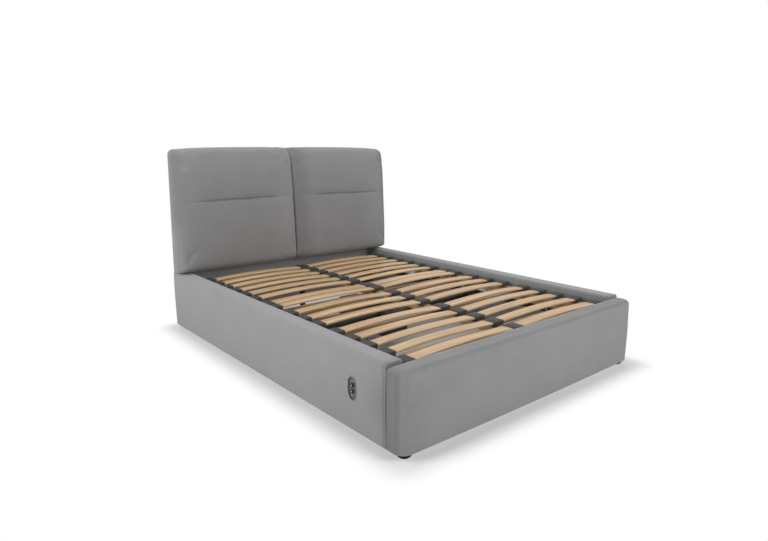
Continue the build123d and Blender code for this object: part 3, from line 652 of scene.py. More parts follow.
class Loft:
    """A closed skin over rings of points, with a UV map in metres."""

    def __init__(self, rings: Sequence[Sequence[Vector]]) -> None:
        """Takes rings with equal numbers of points."""
        self.rings = rings

    @staticmethod
    def _lengths(points: Sequence[Vector]) -> list[float]:
        """Measures along points.

        Args:
            points: The points, in order.

        Returns:
            The running length at each.
        """
        total = [0.0]
        for start, end in zip(points, points[1:]):
            total.append(total[-1] + (end - start).length)
        return total

    def build(self, name: str) -> Piece:
        """Makes the skin.

        Args:
            name: The object's name.

        Returns:
            The object, linked to the scene.
        """
        middle = self.rings[len(self.rings) // 2]
        around = self._lengths([*middle, middle[0]])
        along = self._lengths([ring[0] for ring in self.rings])
        work = bmesh.new()
        layer = work.loops.layers.uv.new("UVMap")
        grid = [[work.verts.new(point) for point in ring] for ring in self.rings]
        for row, (low, high) in enumerate(zip(grid, grid[1:])):
            for column, face in enumerate(bridge(work, low, high)):
                columns = (column, column + 1, column + 1, column)
                rows = (row, row, row + 1, row + 1)
                for loop, u, v in zip(face.loops, columns, rows):
                    loop[layer].uv = (around[u], along[v])
        for ring in (grid[0][::-1], grid[-1]):
            for loop in work.faces.new(ring).loops:
                loop[layer].uv = (loop.vert.co.x + loop.vert.co.y, loop.vert.co.z)
        return from_work(name, work)


def smooth(piece: Piece, angle: float) -> None:
    """Shades a piece smooth, with edges sharper than an angle in degrees kept."""
    piece.data.shade_smooth()
    piece.data.set_sharp_from_angle(angle=math.radians(angle))


def coat(piece: Piece, material: Material) -> None:
    """Gives a piece one material in all its slots.

    Args:
        piece: The piece.
        material: Its material.
    """
    if not piece.data.materials:
        piece.data.materials.append(material)
    for slot in piece.material_slots:
        slot.material = material


def paint_shade(piece: Piece, nap: Callable[[Vector], float]) -> None:
    """Paints shade into a piece's cloth at each point, 0 for none to 2 for the darkest.

    Args:
        piece: the cloth piece.
        nap: gives the painted shade at a place.
    """
    painted_shade = [min(max(nap(vertex.co), 0.0), 2.0) for vertex in piece.data.vertices]
    piece.data.attributes.new(SHADE_ATTRIBUTE, "FLOAT", "POINT").data.foreach_set("value", painted_shade)


def evaluated(piece: Piece) -> bpy.types.Mesh:
    """Applies a piece's modifiers to a copy.

    Args:
        piece: The piece.

    Returns:
        The copy's mesh.
    """
    graph = bpy.context.evaluated_depsgraph_get()
    graph.update()
    return bpy.data.meshes.new_from_object(piece.evaluated_get(graph), depsgraph=graph)


def keep_modifiers(piece: Piece) -> None:
    """Applies a piece's modifiers to its mesh.

    Args:
        piece: The piece.
    """
    mesh = evaluated(piece)
    piece.modifiers.clear()
    piece.data = mesh


def refine(piece: Piece) -> None:
    """Subdivides a piece once, smoothly, and keeps the result.

    Args:
        piece: The piece.
    """
    modifier = piece.modifiers.new("refine", "SUBSURF")
    modifier.levels = 1
    keep_modifiers(piece)


@dataclass(frozen=True)
class Stuffing:
    """A cloth simulation that swells a closed cover."""

    pressure: float = 3.5
    limit: float = 6 * MM
    steps: int = 20
    quality: int = 5
    mass: float = 0.3
    stretch_stiffness: float = 12.0
    shear_stiffness: float = 5.0
    bending_stiffness: float = 1.5
    least_move: float = 1e-7

    def fill(self, piece: Piece, held: Sequence[float]) -> None:
        """Swells a cover and keeps the result.

        Args:
            piece: the cover.
            held: how firmly each point is held, 0 to 1.
        """
        swollen = self.simulate(piece, held)
        furthest = 0.0
        for vertex, place in zip(piece.data.vertices, swollen):
            move = place - vertex.co
            furthest = max(furthest, move.length)
            if move.length > self.least_move:
                eased = self.limit * math.tanh(move.length / self.limit)
                vertex.co += move * (eased / move.length)
        log.info("%s swelled by up to %.1f mm before its limit", piece.name, furthest / MM)

    def simulate(self, piece: Piece, held: Sequence[float]) -> list[Vector]:
        """Runs the simulation.

        Args:
            piece: The cover.
            held: How firmly each point is held.

        Returns:
            Each point's place at the end.
        """
        group = piece.vertex_groups.new(name="held")
        for index, weight in enumerate(held):
            group.add([index], weight, "REPLACE")
        modifier = piece.modifiers.new("stuffing", "CLOTH")
        cloth = modifier.settings
        cloth.quality = self.quality
        cloth.mass = self.mass
        cloth.tension_stiffness = self.stretch_stiffness
        cloth.compression_stiffness = self.stretch_stiffness
        cloth.shear_stiffness = self.shear_stiffness
        cloth.bending_stiffness = self.bending_stiffness
        cloth.use_pressure = True
        cloth.uniform_pressure_force = self.pressure
        cloth.vertex_group_mass = group.name
        cloth.effector_weights.gravity = 0.0
        modifier.collision_settings.use_collision = False
        modifier.point_cache.frame_start = 1
        modifier.point_cache.frame_end = self.steps
        scene = bpy.context.scene
        for step in range(1, self.steps + 1):
            scene.frame_set(step)
        graph = bpy.context.evaluated_depsgraph_get()
        swollen = [vertex.co.copy() for vertex in piece.evaluated_get(graph).data.vertices]
        piece.modifiers.remove(modifier)
        piece.vertex_groups.remove(group)
        scene.frame_set(1)
        return swollen


def settle(
    piece: Piece,
    body: Body,
    replaced: Sequence[str] = (),
) -> None:
    """Hands a finished piece to the frame.

    Args:
        piece: the piece.
        body: the body that it moves with.
        replaced: CAD nodes that it stands for.
    """
    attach(piece, body.value)
    if replaced:
        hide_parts(*replaced)
    log.info("%s rides on %s, %d faces", piece.name, body.value, len(piece.data.polygons))


class Recipe(NodeMaker):
    """A Geometry Nodes tree with named inputs, which is baked to a plain mesh."""

    def __init__(self, name: str) -> None:
        """Makes an empty tree with its input and output nodes.

        Args:
            name: The tree's name.
        """
        super().__init__(bpy.data.node_groups.new(name, "GeometryNodeTree"))
        self.declare("Geometry", "OUTPUT", "Geometry")
        self.entry = self.make("NodeGroupInput")
        self.exit = self.make("NodeGroupOutput")
        self.values: dict[str, object] = {}

    def declare(self, name: str, way: str, kind: str) -> bpy.types.NodeTreeInterfaceSocket:
        """Adds a socket to the tree's interface."""
        kind = f"NodeSocket{kind}"
        return self.tree.interface.new_socket(name, in_out=way, socket_type=kind)

    def input(self, name: str, kind: str, value: object) -> Socket:
        """Adds a named input.

        Args:
            name: the input's name.
            kind: its socket type, without the NodeSocket prefix.
            value: what the modifier sets it to.

        Returns:
            The socket to link from.
        """
        self.values[self.declare(name, "INPUT", kind).identifier] = value
        return self.entry.outputs[name]

    def shape(self, name: str, piece: Piece) -> Socket:
        """Adds an object as a named input and gives its geometry."""
        source = self.input(name, "Object", piece)
        return self.make("GeometryNodeObjectInfo", {"Object": source}).outputs["Geometry"]

    def facing(self, way: Socket) -> Socket:
        """The turn that brings Z to a direction."""
        turn = self.make("FunctionNodeAlignRotationToVector", {"Vector": way}, axis="Z")
        return turn.outputs[0]

    def scatter(self, material: Material, **sockets: Socket) -> None:
        """Ends the tree with instances on points, made real and given a material.

        Args:
            material: the material.
            sockets: inputs of the node that sets instances on points.
        """
        inputs = {name.title(): socket for name, socket in sockets.items()}
        placed = self.make("GeometryNodeInstanceOnPoints", inputs)
        real = self.make("GeometryNodeRealizeInstances", {0: placed.outputs[0]})
        inputs = {"Geometry": real.outputs[0], "Material": material}
        painted = self.make("GeometryNodeSetMaterial", inputs)
        self.feed(self.exit.inputs[0], painted.outputs[0])

    def bake(self, name: str) -> Piece:
        """Runs the tree and keeps its result as a plain mesh.

        Args:
            name: The object's name.

        Returns:
            The new object.
        """
        carrier = linked(f"{name}_carrier", bpy.data.meshes.new(name))
        modifier = carrier.modifiers.new("recipe", "NODES")
        modifier.node_group = self.tree
        for identifier, value in self.values.items():
            modifier[identifier] = value
        mesh = evaluated(carrier)
        bpy.data.objects.remove(carrier)
        mesh.name = name
        return linked(name, mesh)


# Upholstery


@dataclass
class StitchRow:
    """A row of stitches or staples along a path of points."""

    name: str
    path: Sequence[Vector]
    material: Material
    pitch: float = 8 * MM
    length: float = 5 * MM
    thickness: float = 1.1 * MM
    slot: str = "upholstery"

    def build(self) -> None:
        """Makes the row as one mesh."""
        mesh = bpy.data.meshes.new("stitch_path")
        links = [(place, place + 1) for place in range(len(self.path) - 1)]
        mesh.from_pydata([tuple(point) for point in self.path], links, [])
        guide = linked("stitch_path", mesh)
        recipe = Recipe(f"{self.name}_stitching")
        path = recipe.shape("Path", guide)
        pitch = recipe.input("Pitch", "Float", self.pitch)
        measures = (self.thickness, self.thickness, self.length)
        size = recipe.input("Stitch Size", "Vector", measures)
        curve = recipe.make("GeometryNodeMeshToCurve", {"Mesh": path})
        sockets = {"Curve": curve.outputs[0], "Length": pitch}
        even = recipe.make("GeometryNodeResampleCurve", sockets, mode="LENGTH")
        sockets = {"Segments": 8, "Rings": 6, "Radius": 0.5}
        bead = recipe.make("GeometryNodeMeshUVSphere", sockets)
        turn = recipe.facing(recipe.make("GeometryNodeInputTangent").outputs[0])
        recipe.scatter(
            self.material,
            points=even.outputs[0],
            instance=bead.outputs[0],
            rotation=turn,
            scale=size,
        )
        piece = recipe.bake(f"{self.name}_stitches")
        bpy.data.objects.remove(guide)
        smooth(piece, 60)
        settle(piece, Body.BEDSTEAD)


@dataclass
class SideRail:
    """A padded side rail with a wrapped end seam beside the footboard."""

    side: Side
    finishes: Finishes
    edge_radius: float = 13 * MM
    bottom_radius: float = 6 * MM
    crown: float = 2.0 * MM
    end_radius: float = 5 * MM
    seam_from_foot: float = 11 * MM
    seam_depth: float = 2.0 * MM
    seam_half_width: float = 2.4 * MM
    seam_shares: Sequence[float] = (-1.0, -0.6, -0.3, 0.0, 0.3, 0.6, 1.0)
    plain_from_foot: float = 34 * MM
    plain_spans: int = 110
    thread_proud: float = 0.2 * MM
    wave: float = 1.8 * MM
    fine_wave: float = 0.35
    pocket_gap: float = 0.4 * MM
    pocket_clear: float = 20 * MM

    def __post_init__(self) -> None:
        """Reads the rail's place from the frame."""
        self.node = f"{self.side.name.lower()}_side_rail"
        self.low, self.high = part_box(self.node)
        self.seam = self.low.y + self.seam_from_foot
        self.middle_z = (self.low.z + self.high.z) / 2
        self.half_height = (self.high.z - self.low.z) / 2

    def section(self, inset: float) -> list[Pair]:
        """Draws the rail's section, seen along +Y.

        Args:
            inset: How far it is drawn in.

        Returns:
            The closed outline in X and Z.
        """
        x_low, x_high = self.low.x + inset, self.high.x - inset
        z_low, z_high = self.low.z + inset, self.high.z - inset
        r, low_r = self.edge_radius, self.bottom_radius
        outline = round_corner((x_high - low_r, z_low + low_r), low_r, -90, 6)
        outline += [(x_high, z) for z in spread(z_low + low_r, z_high - r, 16)[1:-1]]
        outline += round_corner((x_high - r, z_high - r), r, 0, 6)
        outline += [(x, z_high) for x in spread(x_high - r, x_low + r, 4)[1:-1]]
        outline += round_corner((x_low + r, z_high - r), r, 90, 6)
        outline += [(x_low, z) for z in spread(z_high - r, z_low + low_r, 16)[1:-1]]
        outline += round_corner((x_low + low_r, z_low + low_r), low_r, 180, 6)
        outline += [(x, z_low) for x in spread(x_low + low_r, x_high - low_r, 4)[1:-1]]
        return outline

    def stations(self) -> list[float]:
        """Places the rings along the rail.

        Returns:
            Their Y: close at the ends and at the seam, open between.
        """
        start, end = self.low.y, self.high.y
        rounding = [place for place, _ in edge_round(self.end_radius, 5)]
        places = [start + place for place in rounding]
        places += [self.seam + self.seam_half_width * share for share in self.seam_shares]
        stop = end - self.end_radius * 1.5
        places += spread(start + self.plain_from_foot, stop, self.plain_spans)
        places += [end - place for place in rounding]
        return sorted(set(round(place, 6) for place in places))

    def groove(self, y: float) -> float:
        """Depth of the seam at a place along the rail."""
        reach = abs(y - self.seam) / self.seam_half_width
        return self.seam_depth * (1 - reach**2) if reach < 1 else 0.0

    def end_inset(self, y: float) -> float:
        """Rounds the rail's ends.

        Args:
            y: A ring's place.

        Returns:
            How far the ring draws in.
        """
        radius = self.end_radius
        from_end = min(y - self.low.y, self.high.y - y)
        if from_end >= radius:
            return 0.0
        return radius - math.sqrt(max(radius**2 - (radius - from_end) ** 2, 0.0))

    def padded_point(self, x: float, y: float, z: float) -> Vector:
        """Pads a point of the plain form.

        Args:
            x: Its place in X.
            y: Its place in Y.
            z: Its place in Z.

        Returns:
            Where the padding takes it: only the outer face moves.
        """
        outward = self.side.value
        point = Vector((x, y, z))
        if x * outward > (abs(self.low.x) + abs(self.high.x)) / 2:
            bulge = 1 - ((z - self.middle_z) / self.half_height) ** 2
            lift = ripple(point, 3.2, 4.0 + outward) * self.wave
            lift += ripple(point, 9.0, 1.5) * self.wave * self.fine_wave
            point.x += outward * (bulge * self.crown - self.crown + min(lift, 0.0) * bulge)
        return point

    def build(self) -> None:
        """Makes, pads and dresses the rail."""
        rings = []
        for y in self.stations():
            outline = self.section(self.end_inset(y) + self.groove(y))
            rings.append([self.padded_point(x, y, z) for x, z in outline])
        piece = Loft(rings).build(f"{self.node}_cover")
        if self.side is Side.LEFT:
            self.cut_pocket(piece)
        smooth(piece, 60)
        coat(piece, self.finishes.upholstery)
        # Painted shade, laid into the cover's points, darkens its colour
        paint_shade(piece, self.painted_shade_at)
        settle(piece, Body.BEDSTEAD, (self.node,))
        self.stitch()

    def painted_shade_at(self, place: Vector) -> float:
        """Paints shade on the cover.

        Args:
            place: A point of the cover.

        Returns:
            The painted shade: darker in the joint beside the footboard, low down, beside the seam
                at mid height and towards the head.
        """
        from_foot = place.y - self.low.y
        joint = 0.8 - 0.8 * ease(3 * MM, 7 * MM, from_foot)
        low_down = 1 - ease(self.low.z, self.high.z - 60 * MM, place.z)
        beside = 0.8 * bell(from_foot, 0.12) + 0.14 * bell(from_foot, 0.4)
        half_way = bell(place.z - self.low.z - 0.19, 0.13)
        head = ease(0.2, 1.9, from_foot)
        return joint + 0.3 * low_down + beside * half_way + 0.33 * head

    def stitch(self) -> None:
        """Sews the seam beside the footboard, up the outer face and over the top."""
        outward = self.side.value
        near, far = self.low.x, self.high.x
        if self.side is Side.LEFT:
            near, far = far, near
        edge = self.edge_radius
        far -= outward * (self.seam_depth - self.thread_proud)
        near += outward * edge
        top = self.high.z - self.seam_depth + self.thread_proud
        path = []
        for z in spread(self.low.z + edge, self.high.z - edge, 16):
            sunk = self.crown * ((z - self.middle_z) / self.half_height) ** 2
            path.append(Vector((far - outward * sunk, self.seam, z)))
        path += [Vector((x, self.seam, top)) for x in spread(far - outward * edge, near, 4)]
        StitchRow(f"{self.node}_seam", path, self.finishes.thread).build()

    def cut_pocket(self, piece: Piece) -> None:
        """Opens the rail behind the switch plate.

        Args:
            piece: The rail's cover.
        """
        low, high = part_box("switch_housing")
        grow = self.pocket_gap
        radius = (high.y - low.y) / 2 + grow
        middle_y = (low.y + high.y) / 2
        upper = (middle_y, high.z - radius + grow)
        lower = (middle_y, low.z + radius - grow)
        outline = round_corner(upper, radius, 0, 10)
        outline += round_corner(upper, radius, 90, 10)[1:]
        outline += round_corner(lower, radius, 180, 10)
        outline += round_corner(lower, radius, 270, 10)[1:]
        ends = (low.x - self.pocket_clear, high.x + grow)
        rings = [[Vector((x, y, z)) for y, z in outline] for x in ends]
        cutter = Loft(rings).build("pocket_cutter")
        modifier = piece.modifiers.new("pocket", "BOOLEAN")
        modifier.operation = "DIFFERENCE"
        modifier.object = cutter
        modifier.solver = "EXACT"
        keep_modifiers(piece)
        bpy.data.objects.remove(cutter)


@dataclass
class Footboard:
    """The padded footboard, with broad round corners and a rolled top edge."""

    finishes: Finishes
    corner_radius: float = 52 * MM
    least_corner: float = 3 * MM
    inner_radius: float = 7 * MM
    least_inner: float = 1.5 * MM
    crown: float = 7 * MM
    top_radius: float = 22 * MM
    bottom_radius: float = 9 * MM
    top_reach: float = 44 * MM
    end_drop: float = 2 * MM
    end_taper: float = 8 * MM
    end_drop_reach: float = 150 * MM
    top_wave: float = 0.9 * MM
    wave: float = 2.2 * MM
    fold: float = 1.1 * MM
    fold_reach: float = 0.17

    def __post_init__(self) -> None:
        """Reads the board's place from the frame."""
        self.low, self.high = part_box("footboard")

    def outline(self, inset: float) -> list[Pair]:
        """Draws the plan.

        Args:
            inset: How far it is drawn in.

        Returns:
            The closed outline in X and Y.
        """
        half = self.high.x - inset
        back = self.high.y - inset
        front = self.low.y + self.crown + inset
        inner = max(self.inner_radius - inset, self.least_inner)
        outer = max(self.corner_radius - inset, self.least_corner)
        outer = min(outer, back - front - inner - 1 * MM)
        points = round_corner((-half + outer, front + outer), outer, 180, 16)
        for x in spread(-half + outer, half - outer, 110)[1:-1]:
            points.append((x, front - self.crown * (1 - (x / half) ** 2)))
        points += round_corner((half - outer, front + outer), outer, 270, 16)
        points += round_corner((half - inner, back - inner), inner, 0, 4)
        points += [(x, back) for x in spread(half - inner, -half + inner, 60)[1:-1]]
        points += round_corner((-half + inner, back - inner), inner, 90, 4)
        return points

    def levels(self) -> list[Pair]:
        """Steps the rings from the underside up and over the top.

        Returns:
            Height and inset of each ring.
        """
        start, stop = self.low.z, self.high.z
        rows = [(start + rise, inset) for rise, inset in edge_round(self.bottom_radius, 5)]
        wall = spread(start + self.bottom_radius, stop - self.top_radius, 26)
        rows += [(z, 0.0) for z in wall[1:-1]]
        rows += [(stop - fall, inset) for inset, fall in edge_round(self.top_radius, 8)]
        rows += [(stop, inset) for inset in spread(self.top_radius, self.top_reach, 4)[1:]]
        return rows

    def padded_point(self, x: float, y: float, z: float) -> Vector:
        """Pads a point of the plain form.

        Args:
            x: Its place in X.
            y: Its place in Y.
            z: Its place in Z.

        Returns:
            Where the padding takes it.
        """
        share = (z - self.low.z) / (self.high.z - self.low.z)
        point = Vector((x, y, z))
        from_end = self.high.x - abs(x)
        near_end = 1 - ease(0.0, self.end_drop_reach, from_end)
        sag = self.top_wave * abs(ripple(Vector((x, 0, 0)), 9.0, 5.0))
        point.z -= (self.end_drop * near_end + sag) * share**3
        if x > 0:
            point.x -= self.end_taper * near_end * share**2
        front = min(max((self.high.y - y) / (self.high.y - self.low.y), 0.0), 1.0)
        bulge = 4 * share * (1 - share)
        lift = ripple(Vector((x * 0.8, 0, z * 2.2)), 3.0, 9.0) + ripple(point, 11.0, 2.0) * 0.3
        pull = bell(from_end, self.fold_reach) * (0.5 + 0.5 * math.sin(x * 74 + z * 9))
        inward = self.crown * 0.5 * (1 - bulge)
        inward += abs(lift) * self.wave * bulge + pull * self.fold * bulge
        point.y += front * inward
        return point

    def build(self) -> None:
        """Makes, pads and dresses the footboard."""
        rings = []
        for z, inset in self.levels():
            rings.append([self.padded_point(x, y, z) for x, y in self.outline(inset)])
        piece = Loft(rings).build("footboard_cover")
        smooth(piece, 60)
        coat(piece, self.finishes.upholstery)
        # Painted shade, laid into the cover's points, darkens its colour
        paint_shade(piece, self.painted_shade_at)
        settle(piece, Body.BEDSTEAD, ("footboard",))

    def painted_shade_at(self, place: Vector) -> float:
        """Paints shade on the cover.

        Args:
            place: A point of the cover.

        Returns:
            The painted shade: darker at the corners, most at the left end, on the top, low down,
                at the joints and towards the right end.
        """
        from_end = self.high.x - abs(place.x)
        from_top = self.high.z - place.z
        side = 1.4 if place.x < 0 else 0.6
        beneath = ease(0.0, 0.12, from_top)
        beside = ease(0.014, 0.06, from_end) * (1 - ease(0.06, 0.17, from_end))
        corner = side * (1 - ease(0.0, 14 * MM, from_end)) + 0.27 * side * beneath * beside
        below_top = 1 - ease(self.high.z - 20 * MM, self.high.z - 2 * MM, place.z)
        low_down = 1 - ease(self.low.z, self.low.z + 0.2, place.z)
        patch = 0.5 + 0.5 * ripple(Vector((place.x * 2, 0, place.z * 5)), 1.5, 7.0)
        crest = 0.5 + 0.5 * ripple(Vector((place.x * 3, place.y * 9, 0)), 2.1, 3.0)
        joint = ease(self.high.y - 9 * MM, self.high.y - 4 * MM, place.y)
        joint *= 1 - ease(8 * MM, 14 * MM, from_end)
        right = 0.3 * ease(-0.1, 0.5, place.x)
        top = (1 - below_top) * (0.8 + 0.5 * crest)
        return corner * below_top + 0.3 * low_down * patch + joint + right + top


@dataclass(frozen=True)
class CushionEnd:
    """How one end of a headboard cushion closes.

    The radius rounds its edge, the share is the end face's part of the full depth, the dome
    is how far the end face swells, and the drop is how far the top comes down.
    """

    radius: float
    share: float
    dome: float
    drop: float

    def rings(self) -> list[Pair]:
        """Steps the rings that close the end.

        Returns:
            Distance of each from the side, and its share of the end face.
        """
        shares = (0.05, 0.4, 0.7, 0.9)
        dome = [(self.dome * (1 - math.sqrt(max(1 - k * k, 0.0))), k) for k in shares]
        return dome + [(self.dome + place, 1.0) for place, _ in edge_round(self.radius, 7)]


@dataclass
class HeadboardCushion:
    """One stuffed headboard cushion that leans back, with a sewn crease across its front."""

    side: Side
    finishes: Finishes
    bottom_depth: float = 156 * MM
    lean: float = 62 * MM
    outer: CushionEnd = CushionEnd(42 * MM, 0.66, 5 * MM, 25 * MM)
    split: CushionEnd = CushionEnd(15 * MM, 0.94, 1.2 * MM, 6 * MM)
    taper: float = 7 * MM
    lopsided: float = 7 * MM
    top_rise: float = 5 * MM
    top_crown: float = 16 * MM
    crown_start: float = 0.12
    split_fall: float = 6 * MM
    split_reach: float = 80 * MM
    top_roll: float = 45 * MM
    split_roll: float = 120 * MM
    roll_reach: float = 260 * MM
    back_roll: float = 15 * MM
    peak_share: float = 0.15
    bottom_roll: float = 38 * MM
    crown: float = 15 * MM
    seam_hollow: float = 2 * MM
    crease_height: float = 466 * MM
    crease_depth: float = 8 * MM
    crease_start: float = 280 * MM
    crease_stop: float = 190 * MM
    crease_droop: float = 8 * MM
    crease_waver: float = 1.5 * MM
    gather: float = 1.6
    crease_edge: float = 60 * MM
    stitch_depth: float = 7 * MM
    stitch_width: float = 5 * MM
    slack: float = 3 * MM
    bottom_lift: float = 8 * MM
    stuffing: Stuffing = Stuffing()
    wave: float = 2.0 * MM
    fine_wave: float = 0.7 * MM
    thread_sunk: float = 0.8 * MM
    back_gap: float = 0.3 * MM

    def __post_init__(self) -> None:
        """Reads the cushion's place from the frame."""
        self.node = f"{self.side.name.lower()}_headboard_cushion"
        self.low, self.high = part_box(self.node)
        self.back = self.high.y - self.back_gap
        self.crease_z = self.low.z + self.crease_height
        self.width = self.high.x - self.low.x
        self.split_x = self.high.x if self.side is Side.LEFT else self.low.x
        self.crease_column = 0

    def ends(self) -> tuple[CushionEnd, CushionEnd]:
        """The ends at the cushion's -X and +X sides."""
        return (self.outer, self.split) if self.side is Side.LEFT else (self.split, self.outer)

    def stations(self) -> list[Pair]:
        """Steps the rings from side to side.

        Returns:
            Distance of each from the -X side, and its share of the end face.
        """
        first, last = self.ends()
        start = first.dome + first.radius
        stop = self.width - last.dome - last.radius
        middle = [(place, 1.0) for place in spread(start, stop, 62)[1:-1]]
        closing = [(self.width - place, share) for place, share in reversed(last.rings())]
        return first.rings() + middle + closing

    def end_at(self, distance: float) -> CushionEnd:
        """The end that is nearer to a distance from the -X side."""
        return self.ends()[0] if distance < self.width / 2 else self.ends()[1]

    def fade(self, distance: float) -> float:
        """Share of the crease at a distance from the -X side."""
        start = ease(self.crease_edge, self.crease_start, distance)
        return start * ease(self.crease_edge, self.crease_stop, self.width - distance)

    def pucker(self, x: float) -> float:
        """How hard the thread pulls along the crease, about 1."""
        broad = math.sin(x * 61 + 1.7 * self.side.value)
        return 1 + 0.1 * broad + 0.06 * math.sin(x * 143)

    def profile(self, distance: float) -> list[Pair]:
        """Draws the upright section.

        Args:
            distance: Distance from the -X side.

        Returns:
            Points in Y and Z, back first.
        """
        end = self.end_at(distance)
        edge = min(distance, self.width - distance)
        near = min(max(edge - end.dome, 0.0) / end.radius, 1.0)
        swell = math.sqrt(1 - (1 - near) ** 2)
        share = end.share + (1 - end.share) * swell
        x = self.low.x + distance
        outward = abs(x - self.split_x) / self.width
        top = self.high.z + self.top_rise - end.drop * (1 - swell) - self.top_fall(outward)
        bottom = self.low.z + self.slack * 0.5 + self.bottom_lift * (1 - swell)
        crown = self.seam_hollow + (self.crown - self.seam_hollow) * swell
        fade = self.fade(distance)
        crease = self.seam_hollow + self.crease_depth * fade * self.pucker(x)
        waver = self.crease_waver * math.sin(x * 21) * fade
        crease_z = self.crease_z - self.crease_droop * outward**2 + waver

        def front(z: float) -> float:
            """Y of the leaning front at a height."""
            lean = self.lean * (z - self.low.z) / (self.high.z - self.low.z)
            return self.back - share * (self.bottom_depth - self.slack - lean)

        def panel(heights: Sequence[float], edge_z: float) -> list[Pair]:
            """Draws the front between the crease and an edge.

            Args:
                heights: Heights of the points.
                edge_z: Height of the edge.

            Returns:
                Points in Y and Z, drawn in at both.
            """
            points = []
            for z in heights:
                off = (z - crease_z) / (edge_z - crease_z)
                bend = crease if off < 0.5 else crown
                points.append((front(z) + bend * (1 - 2 * off) ** 2, z))
            return points

        beside = self.beside_split(outward, self.roll_reach)
        roll = self.top_roll + (self.split_roll - self.top_roll) * beside
        under = min(self.bottom_roll, 0.45 * (self.back - front(bottom) - crown))
        high_z = top - roll
        low_z = bottom + under
        high_y = front(high_z) + crown
        low_y = front(low_z) + crown
        above = [1 - (1 - step) ** self.gather for step in spread(0, 1, 34)[1:]]
        below = [step**self.gather for step in spread(0, 1, 40)[1:]]
        points = [(self.back, z) for z in spread(low_z, top - self.back_roll, 24)]
        points += self.over_top(high_y, top, roll)
        points.append((high_y, high_z))
        points += panel([high_z - (high_z - crease_z) * step for step in above], high_z)
        self.crease_column = len(points) - 1
        points += panel([crease_z - (crease_z - low_z) * step for step in below], low_z)
        points += self.under_bottom(low_y, low_z, under)
        return points

    def beside_split(self, outward: float, reach: float) -> float:
        """1 at the split, falling to 0 at a reach from it."""
        return 1 - ease(0.0, reach, outward * self.width)

    def top_fall(self, outward: float) -> float:
        """Lets the top fall from its highest, which is beside the split.

        Args:
            outward: Share of the width from the split.

        Returns:
            How far it has come down.
        """
        outer = max((outward - self.crown_start) / (1 - self.crown_start), 0.0) ** 4
        beside = self.beside_split(outward, self.split_reach)
        return self.top_crown * outer + self.split_fall * beside

    def over_top(self, front: float, top: float, roll: float) -> list[Pair]:
        """Draws a tight turn up from the back, then a long roll to the front.

        Args:
            front: Y of the front.
            top: Height of the top.
            roll: Height of the roll.

        Returns:
            Points in Y and Z.
        """
        peak = self.back - self.peak_share * (self.back - front)
        points = []
        for cos, sin in turned(0, 180, 14)[1:-1]:
            reach, rise = (self.back - peak, self.back_roll) if cos > 0 else (peak - front, roll)
            points.append((peak + reach * cos, top - rise * (1 - sin)))
        return points

    def under_bottom(self, front: float, z: float, rise: float) -> list[Pair]:
        """Draws the half round under the bottom, from the front to the back.

        Args:
            front: Y of the front.
            z: Height of its ends.
            rise: Its depth.

        Returns:
            Points in Y and Z.
        """
        middle = (front + self.back) / 2
        reach = (self.back - front) / 2
        half_round = turned(180, 360, 14)[1:-1]
        return [(middle + reach * cos, z + rise * sin) for cos, sin in half_round]

    def build(self) -> None:
        """Makes, stuffs, sews and dresses the cushion."""
        rings = []
        held = []
        narrowing = (self.taper - self.lopsided * self.side.value) / self.width
        for number, (distance, share) in enumerate(self.stations()):
            end = self.end_at(distance)
            ring = []
            for column, (y, z) in enumerate(self.profile(distance)):
                height = (z - self.low.z) / (self.high.z - self.low.z)
                core = self.back - (self.bottom_depth - self.lean * height) * end.share / 2
                flat = core + (y - core) * share
                rise = z + (self.crease_z - z) * 0.05 * (1 - share)
                off = self.low.x + distance - self.split_x
                x = self.split_x + off * (1 - narrowing * height)
                ring.append(Vector((x, flat, rise)))
                held.append(self.hold(number, column, distance, y, share))
            rings.append(ring)
        piece = Loft(rings).build(f"{self.node}_cover")
        self.stuffing.fill(piece, held)
        self.rumple(piece)
        crease = self.sew(piece, len(rings[0]))
        refine(piece)
        smooth(piece, 75)
        coat(piece, self.finishes.upholstery)
        # Painted shade, laid into the cover's points, darkens its colour
        paint_shade(piece, self.painted_shade_at)
        settle(piece, Body.BEDSTEAD, (self.node,))
        self.stitch(crease)

    def stitch(self, crease: Sequence[Vector]) -> None:
        """Lays the thread along the part of the crease that is drawn in.

        Args:
            crease: Points along the crease.
        """
        start = self.low.x + self.crease_start * 0.8
        stop = self.high.x - self.crease_stop * 0.9
        sunk = Vector((0, self.thread_sunk, 0))
        path = [point + sunk for point in crease if start < point.x < stop]
        thread = self.finishes.thread
        StitchRow(f"{self.node}_crease", path, thread, pitch=9 * MM, length=6 * MM).build()

    def hold(self, number: int, column: int, distance: float, y: float, share: float) -> float:
        """How firmly a point is held while the cushion swells.

        Args:
            number: the ring's place from the -X side.
            column: the point's place in the ring.
            distance: the ring's distance from the -X side.
            y: the point's depth before the ends are closed.
            share: the ring's share of the end face.

        Returns:
            0 where the point is free to 1 where it stays.
        """
        if y > self.back - 1 * MM or share < 1:
            return 1.0
        if column == self.crease_column:
            fade = self.fade(distance)
            return fade if number % 3 == 0 else 0.55 * fade
        return 0.0

    def sew(self, piece: Piece, count: int) -> list[Vector]:
        """Draws the sewn line into the front.

        Args:
            piece: the stuffed cover.
            count: number of points in a ring.

        Returns:
            The points along the bottom of the line.
        """
        vertices = piece.data.vertices
        line = []
        for start in range(0, len(vertices), count):
            middle = vertices[start + self.crease_column].co.copy()
            uneven = 0.75 + 0.5 * ripple(middle, 17.0, 2.0)
            pull = self.fade(middle.x - self.low.x) ** 2 * uneven
            for vertex in vertices[start : start + count]:
                off = (vertex.co.z - middle.z) / self.stitch_width
                if vertex.co.y < self.back - 20 * MM and abs(off) < 3:
                    vertex.co.y += self.stitch_depth * pull * math.exp(-(off**2))
            line.append(vertices[start + self.crease_column].co.copy())
        return line

